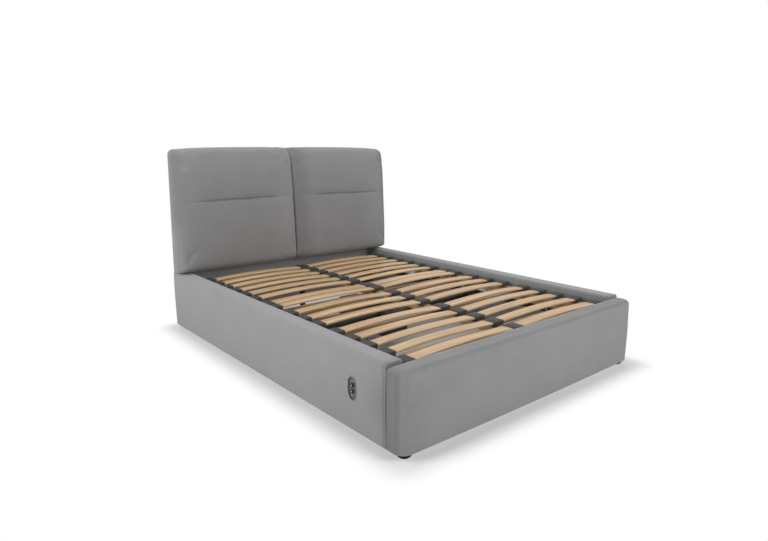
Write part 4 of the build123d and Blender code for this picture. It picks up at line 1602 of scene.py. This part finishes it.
    def rumple(self, piece: Piece) -> None:
        """Adds the soft unevenness of a stuffed cover to the front.

        Args:
            piece: The cushion's cover.
        """
        for vertex in piece.data.vertices:
            place = vertex.co
            weight = ease(0.35, 0.75, (self.back - place.y) / (self.bottom_depth * 0.8))
            lift = abs(ripple(place, 4.0, 3.0 + self.side.value)) * self.wave
            lift += abs(ripple(place, 13.0, 6.0)) * self.fine_wave
            vertex.co.y += weight * lift
        piece.data.update()

    def painted_shade_at(self, place: Vector) -> float:
        """Paints shade on the cover.

        Args:
            place: A point of the cover.

        Returns:
            The painted shade: darker below and along the crease, at the outer end and beside the
                split.
        """
        from_split = abs(place.x - self.split_x)
        from_outer = self.width - from_split
        from_bottom = place.z - self.low.z
        inside = ease(0.06, 0.3, min(from_split, from_outer))
        outward = from_split / self.width
        above = place.z - self.crease_z + self.crease_droop * outward**2
        panel = 0.12 + 0.28 * inside
        if above > 0:
            panel = 0.22 * inside * (1 - ease(0.0, 0.30, above))
        drawn = self.fade(place.x - self.low.x) ** 2
        thread = 0.5 * drawn * bell(above, self.stitch_width)
        outer_end = 1 - ease(0.015, 0.08, from_outer)
        outer_end *= 0.45 + 0.65 * ease(0.1, 0.5, from_bottom)
        beside = 0.9 * (1 - ease(0.03, 0.2, from_split)) if self.side is Side.RIGHT else 0.0
        forward = ease(0.0, 0.03, self.back - place.y)
        return (0.22 + panel + thread + outer_end + beside) * forward


@dataclass
class HeadboardPanel:
    """The covered board behind the cushions, with a stapled lining on its back."""

    finishes: Finishes
    edge_radius: float = 6 * MM
    corner_radius: float = 40 * MM
    least_corner: float = 2 * MM
    rail_gap: float = 0.3 * MM
    taper: float = 20 * MM
    hem: float = 16 * MM
    lining_thickness: float = 0.8 * MM
    staple_pitch: float = 42 * MM
    staple_length: float = 11 * MM
    staple_thickness: float = 1.3 * MM

    def __post_init__(self) -> None:
        """Reads the board's place and the rails' inner faces from the frame."""
        self.low, self.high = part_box("headboard_panel")
        rail_low, rail_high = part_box("right_side_rail")
        self.inner = rail_low.x
        self.rail_top = rail_high.z

    def outline(self, inset: float) -> list[Pair]:
        """Draws the T shaped board.

        Args:
            inset: How far it is drawn in.

        Returns:
            The closed outline in X and Z.
        """
        radius = max(self.corner_radius - inset, self.least_corner)
        wide = self.high.x - inset
        slim = self.inner - self.rail_gap - inset
        top = self.high.z - inset
        step = self.rail_top + self.rail_gap + inset
        right = [(slim, z) for z in spread(self.low.z + inset, step, 12)]
        right += [(x, step) for x in spread(slim, wide, 4)[1:]]
        for share in spread(0, 1, 24)[1:-1]:
            right.append((wide - self.taper * share, step + (top - radius - step) * share))
        slimmer = wide - self.taper
        right += round_corner((slimmer - radius, top - radius), radius, 0, 8)
        right += [(x, top) for x in spread(slimmer - radius, 0, 24)[1:-1]]
        return right + [(-x, z) for x, z in reversed(right)]

    def ring(self, inset: float, y: float) -> list[Vector]:
        """The outline, drawn in by an inset, at a depth."""
        return [Vector((x, y, z)) for x, z in self.outline(inset)]

    def build(self) -> None:
        """Makes and dresses the board, its lining and the staples."""
        middle = (self.low.y + self.high.y) / 2
        reach = (self.high.y - self.low.y) / 2 - self.edge_radius
        rings = []
        for angle in (*spread(0, 90, 5), *spread(90, 180, 5)):
            a = math.radians(angle)
            inset = self.edge_radius * (1 - math.sin(a))
            shift = -reach if angle < 90 else reach
            rings.append(self.ring(inset, middle + shift - self.edge_radius * math.cos(a)))
        piece = Loft(rings).build("headboard_panel_cover")
        smooth(piece, 40)
        coat(piece, self.finishes.upholstery)
        settle(piece, Body.BEDSTEAD, ("headboard_panel",))
        self.build_lining()
        self.build_staples()

    def build_lining(self) -> None:
        """Makes the lining, which stands proud of the board inside its hem."""
        hem = self.hem
        rows = ((hem, -0.2), (hem, 0.5), (hem + 1 * MM, 1.0), (hem + 9 * MM, 1.0))
        back, thickness = self.high.y, self.lining_thickness
        rings = [self.ring(inset, back + thickness * proud) for inset, proud in rows]
        piece = Loft(rings).build("headboard_back_lining")
        smooth(piece, 40)
        coat(piece, self.finishes.lining)
        settle(piece, Body.BEDSTEAD)

    def build_staples(self) -> None:
        """Sets staples along the lining's hem."""
        path = self.ring(self.hem + 5 * MM, self.high.y + self.lining_thickness + 0.1 * MM)
        StitchRow(
            "lining_hem",
            [*path, path[0]],
            self.finishes.zinc,
            self.staple_pitch,
            self.staple_length,
            self.staple_thickness,
            "zinc_steel",
        ).build()


# Deck


@dataclass
class DeckSection:
    """One section of the deck: its rows of sprung slats and their rubber caps."""

    name: str
    body: Body
    pitch: float
    finishes: Finishes
    slat_width: float = 60 * MM
    slat_thickness: float = 12 * MM
    slat_edge: float = 4.5 * MM
    slat_spans: int = 20
    edge_points: int = 3

    def __post_init__(self) -> None:
        """Reads the slats' place from the frame."""
        self.low, self.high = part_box(f"{self.name}_slats")

    def build(self) -> None:
        """Makes the section's slats and caps."""
        self.build_slats()
        self.build_caps()

    def repeat(self, recipe: Recipe, shape: Socket, material: Material) -> None:
        """Ends a recipe with a shape at each of the section's rows.

        Args:
            recipe: The recipe.
            shape: One row's shape.
            material: Its material.
        """
        first = self.low.y + self.slat_width / 2
        count = round((self.high.y - self.low.y - self.slat_width) / self.pitch) + 1
        sockets = {
            "Count": recipe.input("Rows", "Int", count),
            "Start Location": recipe.input("First Row", "Vector", (0.0, first, 0.0)),
            "Offset": recipe.input("Pitch", "Vector", (0.0, self.pitch, 0.0)),
        }
        line = recipe.make("GeometryNodeMeshLine", sockets, mode="OFFSET")
        recipe.scatter(material, points=line.outputs[0], instance=shape)

    def build_slats(self) -> None:
        """Bends one slat profile along an arc and repeats it in two columns."""
        recipe = Recipe(f"{self.name}_slat_rows")
        width = recipe.input("Slat Width", "Float", self.slat_width)
        thickness = recipe.input("Slat Thickness", "Float", self.slat_thickness)
        edge = recipe.input("Edge Radius", "Float", self.slat_edge)
        base = self.low.z + self.slat_thickness / 2
        start, end = SLAT_GAP, self.high.x
        sockets = {
            "Resolution": self.slat_spans,
            "Start": (start, 0.0, base),
            "Middle": ((start + end) / 2, 0.0, base + SLAT_CROWN),
            "End": (end, 0.0, base),
        }
        arc = recipe.make("GeometryNodeCurveArc", sockets, mode="POINTS").outputs["Curve"]
        upright = recipe.make("GeometryNodeSetCurveNormal", {"Curve": arc}, mode="Z_UP")
        sockets = {"Width": width, "Height": thickness}
        profile = recipe.make("GeometryNodeCurvePrimitiveQuadrilateral", sockets)
        sockets = {"Curve": profile.outputs[0], "Radius": edge, "Count": self.edge_points}
        rounded = recipe.make("GeometryNodeFilletCurve", sockets, mode="POLY")
        sockets = {"Curve": upright.outputs[0], "Profile Curve": rounded.outputs[0]}
        right = recipe.make("GeometryNodeCurveToMesh", {**sockets, "Fill Caps": True})
        sockets = {"Geometry": right.outputs[0], "Rotation": (0.0, 0.0, math.pi)}
        left = recipe.make("GeometryNodeTransform", sockets)
        pair = recipe.make("GeometryNodeJoinGeometry")
        for column in (right, left):
            recipe.feed(pair.inputs[0], column.outputs[0])
        self.repeat(recipe, pair.outputs[0], self.finishes.slat)
        piece = recipe.bake(f"{self.name}_sprung_slats")
        smooth(piece, 35)
        settle(piece, self.body, (f"{self.name}_slats",))

    def build_caps(self) -> None:
        """Repeats the moulded caps along the section's rails."""
        template = SlatCap().build()
        recipe = Recipe(f"{self.name}_cap_rows")
        self.repeat(recipe, recipe.shape("Cap", template), self.finishes.rubber)
        piece = recipe.bake(f"{self.name}_moulded_caps")
        bpy.data.objects.remove(template)
        smooth(piece, 30)
        settle(piece, self.body, (f"{self.name}_slat_caps",))


@dataclass
class SlatCap:
    """One row's caps: a pocket on each side rail and a double pocket on the middle rail."""

    length: float = 70.8 * MM
    round_over: float = 3 * MM
    soft_edge: float = 1.4 * MM
    slit_half: float = 30.6 * MM
    floor_thickness: float = 5.6 * MM
    roof_thickness: float = 3.7 * MM
    grip: float = 27 * MM
    tip_gap: float = 0.5 * MM
    lip_overlap: float = 4 * MM
    overlap: float = 1 * MM
    middle_reach: float = 35 * MM
    web_half: float = 7 * MM

    def __post_init__(self) -> None:
        """Reads the caps' place from the frame, and opens the mesh that they go into."""
        self.low, self.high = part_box("seat_slat_caps")
        self.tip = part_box("seat_slats")[1].x
        self.floor = self.low.z + self.floor_thickness
        self.roof = self.high.z - self.roof_thickness
        self.work = bmesh.new()

    def build(self) -> Piece:
        """Makes the three caps of a row, about y = 0.

        Returns:
            The template object.
        """
        for side in (Side.RIGHT, Side.LEFT):
            self.pocket(side.value)
        self.double_pocket()
        return from_work("slat_cap", self.work)

    def block(self, *ranges: Sequence[float]) -> set[BMEdge]:
        """Adds a plain block.

        Args:
            *ranges: Two places along each axis.

        Returns:
            Its edges.
        """
        middle = Vector([(low + high) / 2 for low, high in ranges])
        size = [high - low for low, high in ranges]
        matrix = Matrix.Translation(middle) @ Matrix.Diagonal((*size, 1))
        made = bmesh.ops.create_cube(self.work, size=1.0, matrix=matrix)
        return {edge for vert in made["verts"] for edge in vert.link_edges}

    def soften(self, edges: Sequence[BMEdge], radius: float, segments: int) -> None:
        """Rounds edges."""
        settings = {"affect": "EDGES", "profile": 0.5, "segments": segments}
        bmesh.ops.bevel(self.work, geom=edges, offset=radius, **settings)

    def slab(self, *ranges: Sequence[float]) -> None:
        """A small block with softened edges."""
        self.soften(list(self.block(*ranges)), self.soft_edge, 2)

    def pocket(self, way: int) -> None:
        """Adds a cap that is open towards the bed's middle, behind a solid block.

        Args:
            way: 1 on the +X side, -1 on the other.
        """
        low_z, half = self.low.z, self.length / 2
        solid = sorted((way * self.tip + way * self.tip_gap, way * self.high.x))
        edges = self.block(solid, (-half, half), (low_z, self.high.z))
        upper = low_z + 1 * MM
        kept = [edge for edge in edges if max(vert.co.z for vert in edge.verts) > upper]
        self.soften(kept, self.round_over, 3)
        mouth = way * (self.tip - self.grip)
        self.sleeve(sorted((mouth, way * self.tip + way * self.lip_overlap)))

    def sleeve(self, reach: Sequence[float]) -> None:
        """Adds the floor, the roof and the two cheeks round the ends of the slats.

        Args:
            reach: Its two ends in X.
        """
        half = self.length / 2
        self.slab(reach, (-half, half), (self.low.z, self.floor))
        self.slab(reach, (-half, half), (self.roof, self.high.z))
        for cheek in ((-half, -self.slit_half), (self.slit_half, half)):
            self.slab(reach, cheek, (self.floor - self.overlap, self.roof + self.overlap))

    def double_pocket(self) -> None:
        """The middle cap, open on both sides of a web."""
        self.sleeve((-self.middle_reach, self.middle_reach))
        across = self.slit_half + self.overlap
        web = (-self.web_half, self.web_half)
        self.slab(web, (-across, across), (self.floor, self.roof))


# Rail switch


@dataclass
class RailSwitch:
    """The oval switch in the rail: a bright lip, a black ring, a satin plate and two buttons.

    The lip's rows are insets in mm with shares of the depth, the cove's are shares of the ring's
    width with shares of the depth, and a button's are shares of its radius with depths in mm.
    The arrow's outline and its two heights are in mm.
    """

    finishes: Finishes
    lip: float = 1.6 * MM
    ring: float = 11 * MM
    plate_drop: float = 3.2 * MM
    well_gap: float = 0.6 * MM
    well_depth: float = 2.4 * MM
    collar: float = 2.4 * MM
    collar_rise: float = 0.7 * MM
    squareness: float = 2.35
    spans: int = 96
    well_spans: int = 32
    button_spans: int = 40
    arrow_place: float = 0.75 * MM
    lip_rows: Sequence[Pair] = (
        *((0.0, 0.0), (0.0, 0.62), (0.2, 0.86), (0.6, 1.0)),
        *((1.1, 0.98), (1.45, 0.86), (1.6, 0.74)),
    )
    cove_rows: Sequence[Pair] = ((0.02, 0.72), (0.3, 0.66), (0.6, 0.48), (0.85, 0.3))
    button_rows: Sequence[Pair] = (
        *((1.0, 9.0), (1.0, 1.0), (0.97, 0.5), (0.92, 0.12), (0.86, 0.0)),
        *((0.78, 0.06), (0.6, 0.4), (0.36, 0.66), (0.12, 0.78)),
    )
    arrow_outline: Sequence[Pair] = (
        *((-3.6, -1.9), (0.0, 2.6), (3.6, -1.9)),
        *((2.6, -2.6), (0.0, 0.5), (-2.6, -2.6)),
    )
    arrow_heights: Pair = (-0.3, 0.45)

    def __post_init__(self) -> None:
        """Reads the switch's place from the frame."""
        self.low, self.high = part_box("switch_bezel")
        self.middle = (self.low + self.high) / 2

    def oval(self, inset: float) -> list[Pair]:
        """Draws the switch's outline.

        Args:
            inset: How far it is drawn in.

        Returns:
            Points in Y and Z.
        """
        reach = (self.high.y - self.low.y) / 2 - inset
        rise = (self.high.z - self.low.z) / 2 - inset
        power = 2 / self.squareness
        points = []
        for across, up in circle(self.spans):
            y = math.copysign(abs(across) ** power, across)
            z = math.copysign(abs(up) ** power, up)
            points.append((self.middle.y + reach * y, self.middle.z + rise * z))
        return points

    def build(self) -> None:
        """Makes the surround and both buttons."""
        self.build_surround()
        self.build_button("raise_button", Body.RAISE_KEY, 1)
        self.build_button("lower_button", Body.LOWER_KEY, -1)

    def build_surround(self) -> None:
        """Makes the lip, ring and plate as one piece with three finishes."""
        depth = self.high.x - self.low.x
        rows = [(inset * MM, rise * depth, 0) for inset, rise in self.lip_rows]
        cove = (*self.cove_rows, (1.0, 1 - self.plate_drop / depth))
        rows += [(self.lip + self.ring * share, rise * depth, 1) for share, rise in cove]
        work = bmesh.new()
        rings = []
        for inset, rise, _ in rows:
            x = self.high.x - rise
            rings.append([work.verts.new((x, y, z)) for y, z in self.oval(inset)])
        for low, high, (_, _, finish) in zip(rings, rings[1:], rows[1:]):
            for face in bridge(work, low, high):
                face.material_index = finish
        self.fill_plate(work, rings[-1], self.high.x - (depth - self.plate_drop))
        piece = from_work("switch_surround", work)
        for material in (self.finishes.bright, self.finishes.gloss, self.finishes.plate):
            piece.data.materials.append(material)
        smooth(piece, 35)
        settle(piece, Body.BEDSTEAD, ("switch_bezel",))

    def fill_plate(self, work: BMesh, rim: Sequence[BMVert], x: float) -> None:
        """Fills the plate inside the ring round two button wells with raised collars.

        Args:
            work: the edit mesh.
            rim: the points round the plate.
            x: the plate's face.
        """
        borders = [rim]
        for name in ("raise_button", "lower_button"):
            low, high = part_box(name)
            middle = (low + high) / 2
            well = (high.y - low.y) / 2 + self.well_gap
            sizes = (
                (well + self.collar, 0.0),
                (well + self.collar * 0.7, self.collar_rise),
                (well, self.collar_rise),
                (well, -self.well_depth),
            )
            rings = []
            for radius, rise in sizes:
                ring = []
                for cos, sin in circle(self.well_spans):
                    place = (x - rise, middle.y + radius * cos, middle.z + radius * sin)
                    ring.append(work.verts.new(place))
                rings.append(ring)
            for outer, inner in zip(rings, rings[1:]):
                for face in bridge(work, outer, inner):
                    face.material_index = 1
            borders.append(rings[0])
        edges = []
        for ring in borders:
            edges += [work.edges.get((ring[place - 1], ring[place])) for place in range(len(ring))]
        filled = bmesh.ops.triangle_fill(work, use_beauty=True, use_dissolve=False, edges=edges)
        for made in filled["geom"]:
            if isinstance(made, BMFace):
                made.material_index = 2

    def build_button(self, node: str, body: Body, points: int) -> None:
        """Makes one button with a finger dish and a small raised arrow.

        Args:
            node: the CAD node that it stands for.
            body: the body that it moves with.
            points: 1 for an arrow that points up, -1 for one that points down.
        """
        low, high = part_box(node)
        middle = (low + high) / 2
        radius = (high.y - low.y) / 2
        rings = []
        for share, depth in self.button_rows:
            reach = radius * share
            ring = []
            for cos, sin in circle(self.button_spans):
                y, z = middle.y + reach * cos, middle.z + reach * sin
                ring.append(Vector((low.x + depth * MM, y, z)))
            rings.append(ring)
        piece = Loft(rings).build(f"{node}_cap")
        coat(piece, self.finishes.gloss)
        piece.data.materials.append(self.finishes.mark)
        self.add_arrow(piece, Vector((low.x + self.arrow_place, middle.y, middle.z)), points)
        smooth(piece, 30)
        settle(piece, body, (node,))

    def add_arrow(self, piece: Piece, centre: Vector, points: int) -> None:
        """Raises a small arrow head from the bottom of a button's dish.

        Args:
            piece: The button.
            centre: The bottom of its dish.
            points: 1 or -1: which way the arrow points in Z.
        """
        work = bmesh.new()
        work.from_mesh(piece.data)
        rows = []
        for rise in self.arrow_heights:
            row = []
            for y, z in self.arrow_outline:
                row.append(work.verts.new(centre + Vector((-rise, y, z * points)) * MM))
            rows.append(row)
        made = [work.faces.new(row) for row in rows] + bridge(work, *rows)
        for face in made:
            face.material_index = 1
        bmesh.ops.recalc_face_normals(work, faces=made)
        work.to_mesh(piece.data)
        work.free()


# Fasteners


class Head(Enum):
    """Kinds of screw head: number of sides, then rows of radius and height shares."""

    DOME = (
        18,
        *((1.0, 0.0), (1.0, 0.25), (0.9, 0.62), (0.68, 0.92)),
        *((0.48, 1.0), (0.42, 0.96), (0.4, 0.4), (0.1, 0.34)),
    )
    HEX = (6, (1.0, 0.0), (1.0, 0.86), (0.9, 1.0), (0.2, 1.0))


@dataclass
class FastenerSet:
    """Screw or bolt heads of one body, set out on the faces that they hold."""

    name: str
    body: Body
    head: Head
    places: Sequence[Seat]
    finishes: Finishes
    diameter: float = 9 * MM
    height: float = 3 * MM

    def build(self) -> None:
        """Makes the heads as one mesh."""
        template = self.build_head()
        mesh = bpy.data.meshes.new("fastener_places")
        mesh.from_pydata([place for place, _ in self.places], [], [])
        facing = mesh.attributes.new("facing", "FLOAT_VECTOR", "POINT")
        facing.data.foreach_set("vector", [part for _, way in self.places for part in way])
        guide = linked("fastener_places", mesh)
        recipe = Recipe(f"{self.name}_heads")
        points = recipe.shape("Places", guide)
        head = recipe.shape("Head", template)
        kind = "GeometryNodeInputNamedAttribute"
        way = recipe.make(kind, {"Name": "facing"}, data_type="FLOAT_VECTOR").outputs[0]
        turn = recipe.facing(way)
        recipe.scatter(self.finishes.zinc, points=points, instance=head, rotation=turn)
        piece = recipe.bake(f"{self.name}_fasteners")
        bpy.data.objects.remove(guide)
        bpy.data.objects.remove(template)
        smooth(piece, 30)
        settle(piece, self.body)

    def build_head(self) -> Piece:
        """Makes one head, standing on Z = 0.

        Returns:
            The template object.
        """
        sides, *rows = self.head.value
        rings = []
        for wide, tall in rows:
            reach = self.diameter / 2 * wide
            z = self.height * tall
            rings.append([Vector((reach * cos, reach * sin, z)) for cos, sin in circle(sides)])
        return Loft(rings).build(f"{self.head.name.lower()}_head")


def mirrored(x: float, y: float, z: float, way: float) -> list[Seat]:
    """A place that faces along X and its match on the bed's other side."""
    return [((x, y, z), (way, 0.0, 0.0)), ((-x, y, z), (-way, 0.0, 0.0))]


@dataclass
class Fixings:
    """Sets out every visible fixing of the steelwork and the drive."""

    finishes: Finishes
    plate_screws: Pair = (28 * MM, 50 * MM)
    plate_faces: Sequence[Pair] = ((719 * MM, 1.0), (686 * MM, -1.0), (19 * MM, 1.0))
    steel: float = 4 * MM
    bracket_bolt: float = 30 * MM
    bracket_shares: Pair = (0.25, 0.75)
    ledger_pitch: float = 290 * MM
    ledger_end: float = 50 * MM
    ledger_screw: float = 15 * MM
    case_screw: Pair = (13 * MM, 26 * MM)
    panel_bolt: float = 700 * MM
    panel_bolt_rise: float = 90 * MM
    panel_bolt_fall: float = 70 * MM
    lining: float = 0.8 * MM

    def build(self) -> None:
        """Makes the fixings of the bedstead and of the thigh section."""
        low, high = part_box("seat_hinge_pins")
        reach = (high.z - low.z) / 2
        seat = self.plate_places(high.y - reach, -1) + self.plate_places(low.y + reach, 1)
        low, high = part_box("knee_hinge_pins")
        knee = self.plate_places((low.y + high.y) / 2, 1)
        dome, bolt, bed = Head.DOME, Head.HEX, Body.BEDSTEAD
        # Each row ends with the heads' diameter and height in mm
        sets = (
            ("seat_hinge", bed, dome, seat, 9, 3),
            ("knee_hinge", Body.THIGH, dome, knee, 9, 3),
            ("bracket", bed, bolt, self.bracket_places(), 15, 6),
            ("ledger", bed, dome, self.ledger_places(), 10, 3),
            ("drive_case", bed, dome, self.case_places(), 9, 3),
            ("panel", bed, bolt, self.panel_places(), 17, 6),
        )
        for name, body, head, places, diameter, height in sets:
            size = (diameter * MM, height * MM)
            FastenerSet(name, body, head, places, self.finishes, *size).build()

    def plate_places(self, hinge: float, towards: int) -> list[Seat]:
        """Screws on both faces of the plates at one hinge.

        Args:
            hinge: Y of the hinge's axis.
            towards: 1 for screws on the axis's head side, -1 for its foot side.

        Returns:
            The screws' seats.
        """
        low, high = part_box("knee_hinge_plates")
        z = (low.z + high.z) / 2
        places = []
        for x, way in self.plate_faces:
            for off in self.plate_screws:
                places += mirrored(x, hinge + towards * off, z, way)
        return places

    def bracket_places(self) -> list[Seat]:
        """Places bolts through the corner brackets.

        Returns:
            Their seats.
        """
        low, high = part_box("corner_brackets")
        places = []
        for y in (low.y + self.bracket_bolt, high.y - self.bracket_bolt):
            for share in self.bracket_shares:
                z = low.z + (high.z - low.z) * share
                places += mirrored(high.x - self.steel, y, z, -1.0)
        return places

    def ledger_places(self) -> list[Seat]:
        """Places screws along the ledgers' webs.

        Returns:
            Their seats.
        """
        low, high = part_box("rail_ledgers")
        start, stop = low.y + self.ledger_end, high.y - self.ledger_end
        places = []
        for y in spread(start, stop, int((stop - start) / self.ledger_pitch)):
            places += mirrored(high.x - self.steel, y, low.z + self.ledger_screw, -1.0)
        return places

    def case_places(self) -> list[Seat]:
        """Places screws round the underside of the drive case.

        Returns:
            Their seats.
        """
        low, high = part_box("drive_case_lower")
        in_x, in_y = self.case_screw
        places = []
        for y in spread(low.y + in_y, high.y - in_y, 3):
            for x in (low.x + in_x, high.x - in_x):
                places.append(((x, y, low.z), (0.0, 0.0, -1.0)))
        return places

    def panel_places(self) -> list[Seat]:
        """Places the bolts that hold the headboard panel, on its back.

        Returns:
            Their seats.
        """
        low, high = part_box("headboard_panel")
        rail_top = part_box("right_side_rail")[1].z
        places = []
        for z in (low.z + self.panel_bolt_rise, rail_top - self.panel_bolt_fall):
            for x in (-self.panel_bolt, self.panel_bolt):
                places.append(((x, high.y + self.lining, z), (0.0, 1.0, 0.0)))
        return places


# Carried over nodes


def dress_nodes(finishes: Finishes) -> None:
    """Gives the CAD nodes that keep their shape a finish.

    Args:
        finishes: The bed's finishes.
    """
    moving = ("back", "thigh", "calf")
    lifts = ("back", "leg")
    wheels = ("back", "leg", "calf")
    rails = [f"{part}_rails" for part in ("seat", *moving)]
    bars = [f"{part}_cross_bars" for part in moving]
    standing = ["rail_ledgers", "corner_brackets", "centre_legs", "shaft_hangers"]
    parts = ("lift_shaft", "lift_arms", "drive_lever")
    lifting = [f"{lift}_{part}" for lift in lifts for part in parts]
    hinges = [f"{hinge}_hinge_{part}" for hinge in ("seat", "knee") for part in ("plates", "pins")]
    spindles = [f"{lift}_spindle" for lift in lifts]
    cases = ["drive_case_upper", "drive_case_lower", "control_box", "switch_housing"]
    sliders = [f"{lift}_slider" for lift in lifts]
    pads = ["shaft_bushes", "back_lift_pads", "thigh_lift_pads"]
    rollers = [f"{wheel}_roller_{side.name.lower()}" for wheel in wheels for side in Side]
    groups = (
        (["base_side_members", *rails], finishes.rail),
        (["base_cross_members", *bars], finishes.bar),
        (standing + lifting, finishes.coated),
        ([*hinges, "calf_axles", *spindles], finishes.zinc),
        (cases + sliders, finishes.case),
        (pads + rollers, finishes.nylon),
        (["gear_motors"], finishes.cast),
        (["glide_feet"], finishes.foot),
    )
    for names, material in groups:
        for name in names:
            coat(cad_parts[name], material)
        log.info("%d nodes dressed in %s", len(names), material.name)


# Studio


@dataclass(frozen=True)
class Lamp:
    """A square area lamp: its place, what it points at, its side in metres and its watts."""

    name: str
    place: Point
    aim: Point
    size: float
    power: float

    def hang(self) -> None:
        """Adds the lamp to the scene."""
        data = bpy.data.lights.new(self.name, "AREA")
        data.size = self.size
        data.energy = self.power
        lamp = linked(self.name, data)
        lamp.location = self.place
        way = Vector(self.aim) - Vector(self.place)
        lamp.rotation_euler = way.to_track_quat("-Z", "Y").to_euler()


@dataclass
class Studio:
    """Floor, light and the camera."""

    camera_place: Point = (-2.189, -2.645, 1.180)
    camera_azimuth: float = 39.77
    camera_tilt: float = 11.84
    lens: float = 27.41
    sensor: float = 36.0
    floor_half: float = 14.0
    floor_grey: float = 0.8
    bed_half: Pair = (0.845, 1.145)
    # Share of white glow painted on the floor just under the bed's edge, lifting its shadow there
    edge_shadow_lift: float = 0.4
    white_reach: float = 0.15
    sky: float = 0.5
    lamps: Sequence[Lamp] = (
        Lamp("left", (-4.4, 0.9, 2.4), (-0.6, 0.0, 0.3), 3.0, 120.0),
        Lamp("front", (2.0, -5.0, 2.6), (0.0, -0.6, 0.3), 3.0, 115.0),
        Lamp("above", (0.0, 0.0, 4.8), (0.0, 0.0, 0.0), 4.0, 60.0),
    )

    def build(self) -> None:
        """Sets the whole studio up."""
        self.build_floor()
        for lamp in self.lamps:
            lamp.hang()
        self.build_world()
        self.build_camera()

    def build_floor(self) -> None:
        """A pale floor that keeps the bed's shadow and fades to white round it; just under the
        bed's edge it glows, a painted light over the shadow.
        """
        half = self.floor_half
        mesh = bpy.data.meshes.new("studio_floor")
        edge = [(-half, -half, 0), (half, -half, 0), (half, half, 0), (-half, half, 0)]
        mesh.from_pydata(edge, [], [(0, 1, 2, 3)])
        floor = linked("studio_floor", mesh)
        shader = Shader("studio_floor")
        x, y, _ = shader.axes()
        beyond_x = x.absolute() - self.bed_half[0]
        beyond_y = y.absolute() - self.bed_half[1]
        beyond = beyond_x.most(beyond_y)
        # Painted light: the floor glows white just inside the bed's edge, over the shadow that
        # falls there
        lifted_edge_band = beyond.step(-0.2, -0.06) * (1 - beyond.step(-0.04, 0.02))
        clear_x, clear_y = beyond_x.most(0.0), beyond_y.most(0.0)
        clear = (clear_x * clear_x + clear_y * clear_y) ** 0.5
        white_share = lifted_edge_band * self.edge_shadow_lift + clear.step(0.0, self.white_reach)
        shader.dress(base_color=(*[self.floor_grey] * 3, 1.0), roughness=0.9)
        white = shader.make("ShaderNodeEmission", {"Strength": 1.0}).outputs[0]
        sockets = {0: white_share * shader.seen(), 1: shader.surface.outputs[0], 2: white}
        mixed = shader.make("ShaderNodeMixShader", sockets)
        shader.feed(shader.output.inputs["Surface"], mixed.outputs[0])
        coat(floor, shader.material)

    def build_world(self) -> None:
        """Even light from all round, white to the camera."""
        world = bpy.data.worlds.new("studio")
        bpy.context.scene.world = world
        world.use_nodes = True
        maker = NodeMaker(world.node_tree)
        maker.tree.nodes.clear()
        strength = maker.seen() * (1 - self.sky) + self.sky
        sockets = {"Color": (1.0, 1.0, 1.0, 1.0), "Strength": strength}
        sky = maker.make("ShaderNodeBackground", sockets)
        maker.make("ShaderNodeOutputWorld", {"Surface": sky.outputs[0]})

    def build_camera(self) -> None:
        """The camera, where the photograph's stood."""
        data = bpy.data.cameras.new("camera")
        data.lens = self.lens
        data.sensor_width = self.sensor
        camera = linked("camera", data)
        camera.location = self.camera_place
        tilt, azimuth = math.radians(90 - self.camera_tilt), math.radians(-self.camera_azimuth)
        camera.rotation_euler = (tilt, 0, azimuth)
        bpy.context.scene.camera = camera


def build_pieces(finishes: Finishes) -> None:
    """Builds and dresses every piece of the bed.

    Args:
        finishes: The bed's finishes.
    """
    dress_nodes(finishes)
    for side in Side:
        SideRail(side, finishes).build()
        HeadboardCushion(side, finishes).build()
    Footboard(finishes).build()
    HeadboardPanel(finishes).build()
    RailSwitch(finishes).build()
    Fixings(finishes).build()
    # Name, body and pitch of the slats in mm
    sections = (
        ("back", Body.BACK, 120),
        ("seat", Body.BEDSTEAD, 80),
        ("thigh", Body.THIGH, 125),
        ("calf", Body.CALF, 120),
    )
    for name, body, pitch in sections:
        DeckSection(name, body, pitch * MM, finishes).build()


def main() -> None:
    """Builds the bed's looks and the studio."""
    logging.basicConfig(level=logging.INFO, format="%(message)s")
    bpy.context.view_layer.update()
    build_pieces(Finishes())
    Studio().build()
    bpy.context.scene.view_settings.view_transform = "Standard"


if __name__ == "__main__":
    main()
